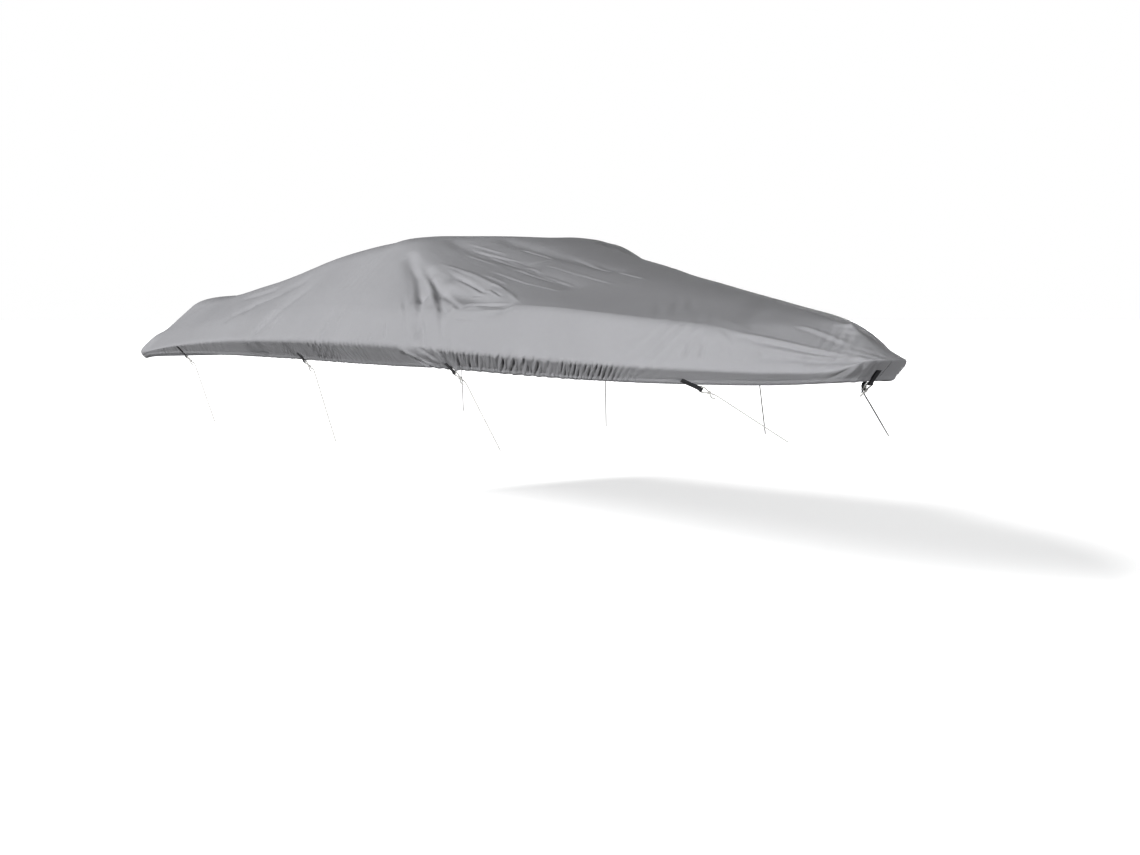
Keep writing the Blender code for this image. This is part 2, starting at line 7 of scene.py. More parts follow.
import bmesh
import bpy
import numpy as np
from bpy.props import FloatProperty, FloatVectorProperty, PointerProperty
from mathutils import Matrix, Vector


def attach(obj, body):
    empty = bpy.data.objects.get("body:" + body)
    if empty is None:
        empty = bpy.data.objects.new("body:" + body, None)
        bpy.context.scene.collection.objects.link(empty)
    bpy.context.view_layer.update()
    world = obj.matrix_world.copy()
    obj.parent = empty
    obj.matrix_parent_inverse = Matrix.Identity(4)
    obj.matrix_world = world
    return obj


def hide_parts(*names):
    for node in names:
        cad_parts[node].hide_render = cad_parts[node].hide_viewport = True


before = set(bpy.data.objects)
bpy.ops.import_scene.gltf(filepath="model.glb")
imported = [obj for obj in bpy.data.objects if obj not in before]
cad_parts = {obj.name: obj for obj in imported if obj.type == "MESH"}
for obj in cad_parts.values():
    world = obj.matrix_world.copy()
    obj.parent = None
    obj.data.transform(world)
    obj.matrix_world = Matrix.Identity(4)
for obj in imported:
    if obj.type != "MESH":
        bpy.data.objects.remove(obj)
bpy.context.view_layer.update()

bl_info = {
    "name": "Boat cover",
    "version": (1, 0, 0),
    "blender": (4, 5, 0),
    "location": "3D View > Sidebar > Boat cover",
    "description": "Makes the cloth, webbing, knots and cords of a fitted boat cover",
    "category": "Object",
}

BODY = "root"
STARBOARD, PORT = -1, 1
SIDE_NAMES = {STARBOARD: "starboard", PORT: "port"}

# ---- the draped shape, as in the solids ----
CREST = (3.85, 0, 0.786)    # the frame's origin, from the transom and the hem's lowest line
HEM_TUCK = 0.85         # how far the hem's cord draws the skirt in, as a share of its height
BOW_TUCK = 0.018        # and how much further under the nose
BOW_ROWS = 1.4          # the reach of that, in rows of the table
RAIL_ROUND = 0.14       # rounding of the section at the rail, as a share of its legs
SIDE_ROUND = 0.34       # and at the shoulder
FORE_ROUND = 0.20       # of the side's corner by the foredeck, where it is crisper
FORE_ROWS = (7.0, 9.0)  # the rows between which the one turns into the other
EDGE_ROUND = 0.26       # of the tent's upper corner
TENT_ROUND = 0.12       # and of that corner at the tent's front, where it is crisper
TENT_ROWS = (6.2, 11.0) # the rows between which it is so
TENT_SOFT = 1.2         # and the rows over which the one turns into the other
SPINE_ROUND = 0.5       # of the tent over the middle line
ROW_STEP = 0.01         # steps, in rows and in corners, for the cloth's directions
CLOTH_STEP = 0.004
LEVEL = 1e-9            # gives the two end points of the spine a level cloth

# A row for each section, from the middle of the bow round one side to the middle of
# the stern. x runs from the transom, out from the centreline, z from the hem's lowest
# line. rail is where the cloth turns down over the gunwale, side the shoulder seam,
# edge the upper corner of the tent, spine its middle line.
Section = namedtuple("Section", (
    "rail_x", "rail_out", "rail_z", "hem_z", "side_x", "side_out", "side_z",
    "edge_x", "edge_out", "edge_z", "spine_x", "spine_z"))
SECTIONS = [Section(*row) for row in (
    (6.67, 0.00, 0.122, 0.025, 6.63, 0.00, 0.146, 6.48, 0.00, 0.230, 6.40, 0.300),
    (6.64, 0.13, 0.120, 0.025, 6.60, 0.11, 0.142, 6.45, 0.06, 0.228, 6.37, 0.302),
    (6.53, 0.23, 0.075, 0.020, 6.50, 0.20, 0.145, 6.36, 0.12, 0.246, 6.30, 0.312),
    (6.32, 0.40, 0.065, 0.005, 6.30, 0.34, 0.190, 6.20, 0.24, 0.283, 6.15, 0.340),
    (6.05, 0.59, 0.075, 0.002, 6.03, 0.50, 0.265, 5.98, 0.39, 0.306, 5.90, 0.388),
    (5.70, 0.81, 0.092, 0.008, 5.68, 0.70, 0.313, 5.64, 0.59, 0.342, 5.55, 0.465),
    (5.30, 0.99, 0.115, 0.020, 5.28, 0.87, 0.355, 5.25, 0.76, 0.385, 5.15, 0.558),
    (4.90, 1.11, 0.135, 0.035, 4.90, 0.99, 0.368, 4.88, 0.85, 0.430, 4.75, 0.650),
    (4.50, 1.18, 0.155, 0.045, 4.50, 1.07, 0.362, 4.50, 0.84, 0.512, 4.40, 0.728),
    (4.10, 1.22, 0.163, 0.046, 4.10, 1.12, 0.362, 4.05, 0.81, 0.610, 4.20, 0.786),
    (3.75, 1.235, 0.167, 0.048, 3.75, 1.13, 0.367, 3.68, 0.78, 0.768, 3.98, 0.792),
    (3.35, 1.24, 0.169, 0.050, 3.35, 1.13, 0.372, 3.35, 0.77, 0.762, 3.55, 0.785),
    (2.80, 1.24, 0.167, 0.052, 2.80, 1.12, 0.362, 2.80, 0.77, 0.718, 2.90, 0.745),
    (2.10, 1.24, 0.157, 0.054, 2.10, 1.10, 0.332, 2.10, 0.77, 0.607, 2.20, 0.640),
    (1.40, 1.23, 0.128, 0.048, 1.40, 1.08, 0.287, 1.42, 0.76, 0.527, 1.50, 0.556),
    (0.80, 1.22, 0.090, 0.035, 0.80, 1.06, 0.237, 0.84, 0.75, 0.470, 0.95, 0.510),
    (0.35, 1.20, 0.050, 0.015, 0.38, 1.04, 0.202, 0.43, 0.73, 0.463, 0.70, 0.500),
    (0.10, 1.13, 0.038, 0.000, 0.14, 1.00, 0.188, 0.22, 0.71, 0.460, 0.60, 0.495),
    (0.00, 0.95, 0.038, 0.000, 0.05, 0.86, 0.202, 0.16, 0.62, 0.463, 0.55, 0.493),
    (0.00, 0.50, 0.040, 0.000, 0.06, 0.46, 0.212, 0.17, 0.35, 0.468, 0.52, 0.492),
    (0.00, 0.00, 0.040, 0.000, 0.06, 0.00, 0.212, 0.17, 0.00, 0.470, 0.50, 0.491),
)]
HEM, RAIL, SIDE, EDGE, SPINE = range(5)     # the corners of a section, from the hem up
LAST_PLACE = len(SECTIONS) - 1
SIDE_END = 17           # the row where the rail turns from the side into the stern
ROW_PARTS = 40          # fine steps to a row, where the rail is measured

# A row for each main fold of the solids: a soft ridge, or a trough where height is
# negative, from one point of the cloth to another, out to port where positive.
Fold = namedtuple("Fold", "x0 out0 z0 x1 out1 z1 width height")
FOLDS = [Fold(*row) for row in (
    (3.84, -0.86, 0.64, 4.25, -1.02, 0.42, 0.060, -0.020),
    (4.25, -1.02, 0.42, 4.45, -1.14, 0.24, 0.050, -0.016),
    (4.45, -1.14, 0.24, 4.52, -1.17, 0.17, 0.040, -0.010),
    (4.05, -0.87, 0.56, 4.57, -1.06, 0.35, 0.060, -0.020),
    (4.15, -0.90, 0.52, 4.40, -1.02, 0.40, 0.050, 0.012),
    (4.33, -0.85, 0.52, 4.66, -0.87, 0.46, 0.055, -0.014),
    (4.40, -0.95, 0.45, 4.98, -0.96, 0.38, 0.080, -0.022),
    (2.57, -0.93, 0.53, 1.92, -1.03, 0.38, 0.070, -0.010),
    (1.92, -1.03, 0.38, 1.71, -1.09, 0.30, 0.060, -0.008),
    (2.78, -1.01, 0.47, 2.41, -1.22, 0.19, 0.060, -0.010),
    (3.43, -1.15, 0.33, 3.43, -1.22, 0.20, 0.050, -0.008),
    (3.90, -0.58, 0.74, 4.50, -0.51, 0.60, 0.080, -0.010),
    (4.02, -0.31, 0.74, 4.90, -0.20, 0.57, 0.080, -0.010),
    (4.67, -0.54, 0.54, 5.01, -0.56, 0.47, 0.080, -0.008),
    (6.27, -0.40, 0.135, 6.58, -0.16, 0.13, 0.030, -0.007),
    (6.42, -0.29, 0.115, 6.62, -0.15, 0.11, 0.025, -0.006),
    (4.34, -1.19, 0.135, 4.64, -1.13, 0.06, 0.035, 0.012),
    (3.88, 0.86, 0.63, 4.20, 1.00, 0.44, 0.065, -0.018),
    (4.20, 1.00, 0.44, 4.36, 1.14, 0.24, 0.055, -0.014),
    (4.12, 0.86, 0.55, 4.66, 1.04, 0.35, 0.065, -0.018),
    (4.44, 0.94, 0.45, 5.04, 0.94, 0.38, 0.080, -0.020),
    (2.40, 0.95, 0.50, 1.80, 1.06, 0.34, 0.070, -0.010),
    (3.00, 1.02, 0.48, 2.64, 1.22, 0.20, 0.060, -0.010),
    (3.96, 0.46, 0.75, 4.62, 0.40, 0.60, 0.080, -0.010),
    (6.20, 0.46, 0.16, 6.57, 0.17, 0.13, 0.030, -0.007),
    (4.30, 1.20, 0.135, 4.60, 1.13, 0.06, 0.035, 0.012),
    (3.94, 0.30, 0.79, 3.86, 0.46, 0.79, 0.240, 0.014),
    (3.72, -0.82, 0.75, 3.66, -0.72, 0.77, 0.140, -0.014),
    (4.25, 0.36, 0.68, 4.62, 0.34, 0.62, 0.240, 0.012),
    (0.14, -1.15, 0.05, 0.24, -1.10, 0.15, 0.110, 0.030),
)]

# A row for each gathered stretch of the skirt, in metres along the rail from the bow.
Gather = namedtuple("Gather", "side start end pitch depth")
GATHERS = [Gather(*row) for row in (
    (STARBOARD, 1.40, 2.62, 0.080, 0.0075),
    (STARBOARD, 3.35, 4.75, 0.110, 0.0045),
    (PORT, 1.55, 2.80, 0.085, 0.0075),
    (PORT, 3.50, 4.60, 0.115, 0.0045),
)]
BELL = 2                # how quickly a fold dies out beside its line
GATHER_FADE = 0.15      # the length over which a gathered stretch begins and ends
GATHER_TOP = 1.25       # where the gathers have died out above the rail, in corners
GATHER_SOFT = 0.4       # the height over which they die out, in corners
DRIFT = (1.1, 7.3)      # how much the gathers' spacing wanders, and how fast along the rail
SWELL = (0.25, 11.0)    # and the same for their depth


def smooth_step(t):
    """0 below nought, 1 above one, and a smooth rise between."""
    t = np.clip(t, 0, 1)
    return t * t * (3 - 2 * t)


def catmull_rom(values, row, t):
    """The smooth curve through padded values, a share t of the way on from a row."""
    a, b, c, d = (values[row + step] for step in range(4))
    return 0.5 * (2 * b + (c - a) * t + (2 * a - 5 * b + 4 * c - d) * t ** 2
                  + (3 * b - a - 3 * c + d) * t ** 3)


def walked_along(path):
    """Distance along a path to each of its points."""
    return np.concatenate(([0.0], np.cumsum(np.linalg.norm(np.diff(path, axis=0), axis=1))))


def puckers(distance, depth, pitch, drift):
    """Even waves along the rail whose spacing wanders: drift is how much and how fast."""
    amount, speed = drift
    return depth * np.sin(2 * math.pi * distance / pitch + amount * np.sin(distance * speed))


def column(name, mirrored_sign):
    """A column of the table, with one row of the mirrored half past each end."""
    values = np.array([getattr(row, name) for row in SECTIONS])
    return np.concatenate(([mirrored_sign * values[1]], values, [mirrored_sign * values[-2]]))


def smooth(values, place):
    """A padded column at places counted in rows."""
    row = np.clip(np.floor(place).astype(int), 0, LAST_PLACE - 1)
    return catmull_rom(values, row, place - row)


def curve(prefix, place):
    """One long line of the cover, as x, out and z at the places."""
    x = smooth(column(prefix + "_x", 1), place)
    z = smooth(column(prefix + "_z", 1), place)
    if prefix == "spine":
        return np.stack([x, np.zeros_like(x), z], -1)
    return np.stack([x, smooth(column(prefix + "_out", -1), place), z], -1)


def corners(place):
    """The five corners of the section at each place, hem to spine."""
    rail = curve("rail", place)
    ahead = curve("rail", np.clip(place + ROW_STEP, 0, LAST_PLACE))
    behind = curve("rail", np.clip(place - ROW_STEP, 0, LAST_PLACE))
    tangent = ahead - behind
    tangent /= np.hypot(tangent[..., 0], tangent[..., 1])[..., None]
    hem_z = smooth(column("hem_z", 1), place)
    tuck = HEM_TUCK * (rail[..., 2] - hem_z) + BOW_TUCK * np.exp(-(place / BOW_ROWS) ** 2)
    hem = rail.copy()
    hem[..., 0] -= tuck * tangent[..., 1]
    hem[..., 1] += tuck * tangent[..., 0]
    hem[..., 2] = hem_z
    side, edge, spine = (curve(name, place) for name in ("side", "edge", "spine"))
    return np.stack([hem, rail, side, edge, spine], -2)


def chosen_corner(corner, index):
    """The corner of each section that index names."""
    return np.take_along_axis(corner, index[..., None, None], -2)[..., 0, :]


def side_rounding(place):
    """The rounding of the side's corner at each place."""
    share = smooth_step((place - FORE_ROWS[0]) / (FORE_ROWS[1] - FORE_ROWS[0]))
    return FORE_ROUND + (SIDE_ROUND - FORE_ROUND) * share


def edge_rounding(place):
    """The rounding of the tent's upper corner at each place."""
    share = smooth_step(np.minimum(place - TENT_ROWS[0], TENT_ROWS[1] - place) / TENT_SOFT)
    return EDGE_ROUND + (TENT_ROUND - EDGE_ROUND) * share


def section_points(corner, up, side_reach, edge_reach):
    """Points of the rounded section; up counts corners from the hem, 0, to the spine, 4.
    Between corners the section is straight, and near one it is a quadratic curve."""
    leg = np.clip(np.floor(up).astype(int), HEM, EDGE)
    t = (up - leg)[..., None]
    points = (1 - t) * chosen_corner(corner, leg) + t * chosen_corner(corner, leg + 1)
    across = corner[..., EDGE, :] * (1, -1, 1)
    for index, share in ((RAIL, RAIL_ROUND), (SIDE, side_reach), (EDGE, edge_reach),
                         (SPINE, SPINE_ROUND)):
        reach = np.broadcast_to(share, up.shape)[..., None]
        here, below = corner[..., index, :], corner[..., index - 1, :]
        above = across if index == SPINE else corner[..., index + 1, :]
        s = (up - index)[..., None] / (2 * reach) + 0.5
        start, end = here + reach * (below - here), here + reach * (above - here)
        bend = (1 - s) ** 2 * start + 2 * s * (1 - s) * here + s ** 2 * end
        points = np.where(abs(s - 0.5) < 0.5, bend, points)
    return points


def plain_points(place, up, side):
    """The cover on one side without its folds, in the table's own axes."""
    place = np.clip(place, 0, LAST_PLACE)
    up = np.clip(up, HEM, SPINE)
    rounded = section_points(corners(place), up, side_rounding(place), edge_rounding(place))
    return rounded * (1, side, 1)


def outward(place, up, side):
    """Unit normals of the plain cover: the cross product of its two directions."""
    along, rise = (plain_points(place + walk, up + climb, side)
                   - plain_points(place - walk, up - climb, side)
                   for walk, climb in ((CLOTH_STEP, 0), (0, CLOTH_STEP)))
    normal = np.cross(along, rise) * side
    middle = (place <= 0) | (place >= LAST_PLACE) | (up >= SPINE)
    normal[..., 1] = np.where(middle, 0, normal[..., 1])
    normal[..., 2] += LEVEL
    return normal / np.linalg.norm(normal, axis=-1)[..., None]


def fold_height(points):
    """Height of the main folds: each a bell across its line, faded at its ends."""
    height = np.zeros(points.shape[:-1])
    for fold in FOLDS:
        start, end = np.array(fold[0:3]), np.array(fold[3:6])
        line = end - start
        share = np.clip(((points - start) @ line) / (line @ line), 0, 1)
        reach = np.linalg.norm(points - start - share[..., None] * line, axis=-1)
        height += fold.height * np.exp(-BELL * (reach / fold.width) ** 2)
    return height


def gather_height(distance, up, side):
    """Gathers of the skirt where the hem's cord bunches it, as uneven waves along the rail."""
    height = np.zeros(np.broadcast(distance, up).shape)
    for gather in GATHERS:
        inside = np.clip((distance - gather.start) / GATHER_FADE, 0, 1)
        inside = inside * np.clip((gather.end - distance) / GATHER_FADE, 0, 1)
        wave = puckers(distance, gather.depth, gather.pitch, DRIFT)
        wave = wave * (1 - SWELL[0] + SWELL[0] * np.sin(distance * SWELL[1]))
        fade = np.clip((GATHER_TOP - up) / GATHER_SOFT, 0, 1)
        height += (side == gather.side) * wave * inside * fade
    return height


def rail_distances():
    """Places all along the rail and their distance from the bow's middle."""
    place = np.linspace(0, LAST_PLACE, LAST_PLACE * ROW_PARTS + 1)
    return place, walked_along(curve("rail", place))


def distance_at(place):
    """The distance along the rail from the bow's middle to each place."""
    return np.interp(place, *rail_distances())


def solid_points(place, up, side):
    """Outer face of the solids' cloth, in the frame: the plain cover with its folds."""
    points = plain_points(place, up, side)
    height = fold_height(points) + gather_height(distance_at(place), up, side)
    return points + outward(place, up, side) * height[..., None] - CREST


# ---- the finer shape of the cloth, which the solids leave out ----
# A row for each crease: a curve through the cloth from one point over a middle one to
# another, its width and height, and its lean: how deep a trough lies against it, towards
# the side it leans to. Out is negative on the starboard side.
Crease = namedtuple("Crease", (
    "x0 out0 z0 x1 out1 z1 x2 out2 z2 width height lean"))
CREASES = [Crease(*row) for row in (
    # the side's long soft folds, slanting down and aft, and its short pulls
    (2.17, -0.91, 0.502, 1.89, -0.91, 0.465, 1.40, -0.90, 0.418, 0.034, -0.0065, 0.5),
    (2.39, -1.22, 0.187, 2.46, -1.15, 0.298, 2.54, -1.04, 0.420, 0.015, -0.0085, 0.8),
    (2.64, -1.22, 0.190, 2.65, -1.16, 0.288, 2.69, -1.11, 0.358, 0.015, -0.0085, 0.8),
    (1.72, -1.09, 0.302, 1.67, -1.03, 0.350, 1.67, -0.97, 0.393, 0.015, -0.0075, 0.8),
    (3.42, -1.23, 0.193, 3.43, -1.19, 0.268, 3.45, -1.14, 0.344, 0.014, -0.0090, 0.8),
    (3.56, -1.19, 0.265, 3.56, -1.16, 0.314, 3.57, -1.13, 0.364, 0.014, -0.0075, 0.8),
    (4.11, -1.15, 0.292, 4.15, -1.18, 0.236, 4.19, -1.20, 0.186, 0.013, -0.0075, 0.6),
    (2.46, -1.09, 0.365, 2.52, -1.03, 0.427, 2.66, -0.99, 0.483, 0.018, -0.0055, 0.7),
    (1.91, -1.01, 0.385, 2.15, -0.99, 0.429, 2.37, -0.97, 0.470, 0.019, -0.0055, 0.7),
    (3.90, -1.21, 0.215, 3.92, -1.22, 0.193, 3.92, -1.22, 0.173, 0.012, -0.0060, 0.6),
    (4.00, -1.20, 0.220, 4.02, -1.21, 0.196, 4.02, -1.22, 0.177, 0.012, -0.0060, 0.6),
    (3.11, -1.23, 0.185, 3.15, -1.22, 0.207, 3.19, -1.21, 0.227, 0.012, -0.0060, 0.6),
    (3.61, -1.22, 0.196, 3.60, -1.20, 0.231, 3.61, -1.19, 0.255, 0.012, -0.0060, 0.6),
    # the deep folds from the windscreen's corner down to the gunwale
    (3.87, -0.87, 0.621, 4.23, -1.02, 0.424, 4.43, -1.12, 0.278, 0.021, -0.0090, 0.6),
    (4.40, -1.11, 0.315, 4.47, -1.14, 0.232, 4.55, -1.17, 0.163, 0.013, -0.0075, 0.7),
    (4.07, -0.87, 0.559, 4.38, -0.99, 0.432, 4.57, -1.07, 0.330, 0.021, -0.0095, 0.5),
    (4.48, -1.04, 0.384, 4.60, -1.10, 0.278, 4.69, -1.14, 0.175, 0.012, -0.0065, 0.7),
    (4.07, -1.03, 0.433, 4.23, -1.10, 0.348, 4.32, -1.15, 0.258, 0.015, -0.0050, 0.6),
    (4.30, -1.14, 0.277, 4.36, -1.16, 0.224, 4.45, -1.18, 0.167, 0.012, -0.0060, 0.7),
    (3.86, -0.85, 0.642, 4.20, -0.94, 0.490, 4.48, -1.06, 0.365, 0.026, 0.0070, 0.5),
    (4.31, -0.93, 0.478, 4.54, -1.00, 0.402, 4.73, -1.04, 0.340, 0.016, -0.0095, 0.6),
    (4.02, -0.86, 0.579, 4.42, -0.98, 0.430, 4.66, -1.05, 0.339, 0.019, -0.0085, 0.5),
    # the pocket at their foot, and the folds that run forward from it
    (4.64, -1.06, 0.335, 4.83, -1.03, 0.315, 5.09, -0.92, 0.366, 0.015, -0.0100, -0.9),
    (4.70, -1.03, 0.364, 4.78, -0.97, 0.393, 4.99, -0.91, 0.385, 0.014, 0.0085, 0.6),
    (4.73, -1.01, 0.370, 4.78, -1.00, 0.376, 4.85, -0.99, 0.373, 0.011, -0.0060, 0.4),
    (4.34, -0.85, 0.525, 4.55, -0.87, 0.479, 4.76, -0.90, 0.431, 0.015, -0.0085, 0.6),
    (4.64, -0.86, 0.469, 4.76, -0.87, 0.441, 4.87, -0.89, 0.416, 0.011, -0.0065, 0.6),
    (4.63, -0.93, 0.436, 4.67, -0.92, 0.431, 4.71, -0.91, 0.435, 0.011, -0.0050, 0.5),
    (4.14, -0.80, 0.578, 4.37, -0.83, 0.529, 4.58, -0.85, 0.485, 0.015, 0.0060, 0.5),
    (4.04, -0.79, 0.607, 4.39, -0.79, 0.539, 4.80, -0.84, 0.446, 0.020, 0.0060, 0.0),
    (4.58, -0.80, 0.498, 4.82, -0.84, 0.441, 5.05, -0.90, 0.382, 0.015, 0.0050, 0.0),
    # the long lines of the sloping foredeck
    (3.97, -0.55, 0.713, 4.20, -0.50, 0.655, 4.47, -0.47, 0.604, 0.013, 0.0053, 0.5),
    (4.19, -0.33, 0.699, 4.35, -0.32, 0.663, 4.52, -0.30, 0.628, 0.013, 0.0059, 0.5),
    (4.12, -0.52, 0.669, 4.38, -0.53, 0.609, 4.62, -0.52, 0.559, 0.012, 0.0048, 0.5),
    (4.50, -0.58, 0.572, 4.73, -0.57, 0.524, 4.94, -0.55, 0.487, 0.012, 0.0045, 0.5),
    (4.70, -0.55, 0.537, 4.86, -0.54, 0.503, 5.05, -0.55, 0.466, 0.012, 0.0048, 0.5),
    (4.67, -0.21, 0.607, 4.80, -0.22, 0.578, 4.94, -0.21, 0.551, 0.013, 0.0056, 0.5),
    (4.91, -0.20, 0.558, 5.06, -0.21, 0.527, 5.16, -0.19, 0.508, 0.013, 0.0048, 0.5),
    (4.03, -0.62, 0.670, 4.21, -0.60, 0.626, 4.45, -0.61, 0.576, 0.012, 0.0042, 0.5),
    (4.43, -0.69, 0.560, 4.66, -0.69, 0.512, 4.87, -0.69, 0.467, 0.012, 0.0042, 0.5),
    (4.28, -0.50, 0.638, 4.50, -0.51, 0.588, 4.73, -0.51, 0.538, 0.012, 0.0042, 0.5),
    (4.48, -0.49, 0.599, 4.49, -0.40, 0.617, 4.52, -0.30, 0.626, 0.012, 0.0042, 0.5),
    (4.42, -0.18, 0.666, 4.63, -0.20, 0.618, 4.85, -0.21, 0.568, 0.013, 0.0036, 0.5),
    (4.47, -0.76, 0.534, 4.61, -0.76, 0.506, 4.76, -0.77, 0.472, 0.012, 0.0036, 0.5),
    (4.80, -0.40, 0.549, 5.00, -0.40, 0.508, 5.16, -0.39, 0.478, 0.013, 0.0034, 0.5),
    (4.55, -0.42, 0.599, 4.74, -0.41, 0.560, 4.94, -0.42, 0.517, 0.012, 0.0036, 0.5),
    (4.76, -0.69, 0.491, 4.92, -0.67, 0.463, 5.08, -0.65, 0.439, 0.012, 0.0031, 0.5),
    (4.63, -0.82, 0.484, 4.73, -0.82, 0.463, 4.85, -0.85, 0.430, 0.011, 0.0036, 0.5),
    (3.92, -0.53, 0.736, 4.08, -0.47, 0.695, 4.28, -0.44, 0.653, 0.012, 0.0036, 0.5),
    (5.78, 0.14, 0.387, 6.02, -0.23, 0.323, 6.08, -0.39, 0.274, 0.090, -0.0070, 0.0),
    # drawn tight to the nose
    (6.08, -0.46, 0.246, 6.33, -0.30, 0.192, 6.62, -0.12, 0.128, 0.018, 0.0070, 0.6),
    (6.16, -0.43, 0.208, 6.38, -0.28, 0.159, 6.61, -0.12, 0.136, 0.016, -0.0080, 0.5),
    (6.28, -0.38, 0.143, 6.44, -0.26, 0.137, 6.61, -0.13, 0.130, 0.015, 0.0065, 0.6),
    (6.24, -0.20, 0.276, 6.37, -0.13, 0.237, 6.54, -0.10, 0.174, 0.020, 0.0055, 0.6),
    (6.62, -0.15, 0.112, 6.58, -0.17, 0.064, 6.52, -0.19, 0.026, 0.012, 0.0040, 0.5),
    (6.60, -0.17, 0.102, 6.55, -0.20, 0.064, 6.50, -0.22, 0.040, 0.012, -0.0040, 0.5),
    (5.97, -0.58, 0.190, 5.97, -0.60, 0.156, 5.96, -0.62, 0.127, 0.014, -0.0060, 0.6),
    (6.02, -0.54, 0.208, 6.03, -0.56, 0.160, 6.03, -0.57, 0.123, 0.014, -0.0060, 0.6),
    (6.06, -0.47, 0.255, 6.10, -0.46, 0.229, 6.15, -0.45, 0.190, 0.016, -0.0035, 0.5),
    # the twisted wedge beside the third tie
    (4.35, -1.19, 0.148, 4.43, -1.14, 0.106, 4.54, -1.08, 0.044, 0.016, 0.0150, 0.8),
    (4.46, -1.18, 0.154, 4.56, -1.14, 0.116, 4.60, -1.09, 0.068, 0.012, -0.0100, 0.4),
    (4.59, -1.16, 0.157, 4.64, -1.14, 0.122, 4.64, -1.10, 0.077, 0.010, 0.0060, 0.6),
    (4.72, -1.14, 0.157, 4.72, -1.12, 0.119, 4.64, -1.09, 0.069, 0.010, -0.0060, 0.5),
    # the far side's like folds
    (3.88, 0.87, 0.620, 4.10, 0.94, 0.500, 4.36, 1.08, 0.360, 0.032, -0.0110, 0.0),
    (3.96, 0.86, 0.600, 4.20, 0.95, 0.480, 4.46, 1.06, 0.360, 0.026, 0.0090, -0.4),
    (4.04, 0.86, 0.575, 4.34, 0.98, 0.440, 4.60, 1.08, 0.310, 0.028, -0.0090, -0.3),
    (4.50, 0.99, 0.415, 4.70, 1.04, 0.350, 4.86, 1.02, 0.330, 0.034, -0.0110, 0.2),
    (4.86, 1.02, 0.330, 5.00, 0.98, 0.350, 5.14, 0.89, 0.380, 0.034, -0.0100, 0.2),
    (2.70, 0.98, 0.490, 2.30, 1.00, 0.430, 1.95, 1.05, 0.360, 0.036, -0.0050, 0.6),
    (3.02, 1.06, 0.420, 2.72, 1.14, 0.300, 2.66, 1.22, 0.190, 0.034, -0.0060, 0.6),
    (1.66, 0.94, 0.420, 1.68, 1.02, 0.350, 1.70, 1.09, 0.290, 0.032, -0.0045, 0.5),
    (3.30, 1.15, 0.330, 3.31, 1.19, 0.260, 3.33, 1.23, 0.180, 0.026, -0.0050, 0.5),
    (3.92, 0.55, 0.735, 4.16, 0.48, 0.670, 4.52, 0.44, 0.600, 0.026, 0.0050, 0.5),
    (4.20, 0.72, 0.585, 4.52, 0.72, 0.520, 4.90, 0.76, 0.450, 0.028, -0.0055, 0.5),
    (4.60, 0.50, 0.560, 4.82, 0.52, 0.510, 5.02, 0.55, 0.465, 0.026, 0.0045, 0.5),
    (6.10, 0.45, 0.245, 6.34, 0.29, 0.190, 6.61, 0.12, 0.130, 0.018, 0.0040, 0.5),
    (6.20, 0.42, 0.195, 6.40, 0.26, 0.155, 6.61, 0.13, 0.132, 0.018, -0.0050, 0.4),
    # the stern's pulls from its corners up to the engine's edge
    (0.10, -0.98, 0.100, 0.20, -0.78, 0.260, 0.42, -0.55, 0.440, 0.040, -0.0060, 0.5),
    (0.04, -0.80, 0.080, 0.14, -0.62, 0.250, 0.30, -0.50, 0.450, 0.034, -0.0050, 0.5),
    (0.10, 0.98, 0.100, 0.20, 0.80, 0.250, 0.40, 0.60, 0.430, 0.040, -0.0060, 0.5),
    (0.04, 0.70, 0.080, 0.12, 0.60, 0.220, 0.24, 0.46, 0.440, 0.034, -0.0050, 0.5),
    (0.30, -1.08, 0.210, 0.46, -0.92, 0.330, 0.72, -0.70, 0.480, 0.040, -0.0050, 0.5),
    (0.30, 1.08, 0.210, 0.48, 0.90, 0.340, 0.76, 0.72, 0.480, 0.040, -0.0050, 0.5),
)]
CREASE_PARTS = 8        # straight pieces that a crease's curve is measured against
CREASE_REACH = 3.2      # how far a crease is worked out, in its widths
CREASE_FADE = 0.28      # the share of its length over which a crease begins and ends
TROUGH_PLACE = 1.25     # how far beside a crease its trough lies, in widths


def crease_curve(crease):
    """Points of a crease: the quadratic curve that passes through its middle point."""
    start, middle, end = (np.array(crease[first:first + 3]) for first in (0, 3, 6))
    pull = 2 * middle - (start + end) / 2
    t = np.linspace(0, 1, CREASE_PARTS + 1)[:, None]
    return (1 - t) ** 2 * start + 2 * t * (1 - t) * pull + t ** 2 * end


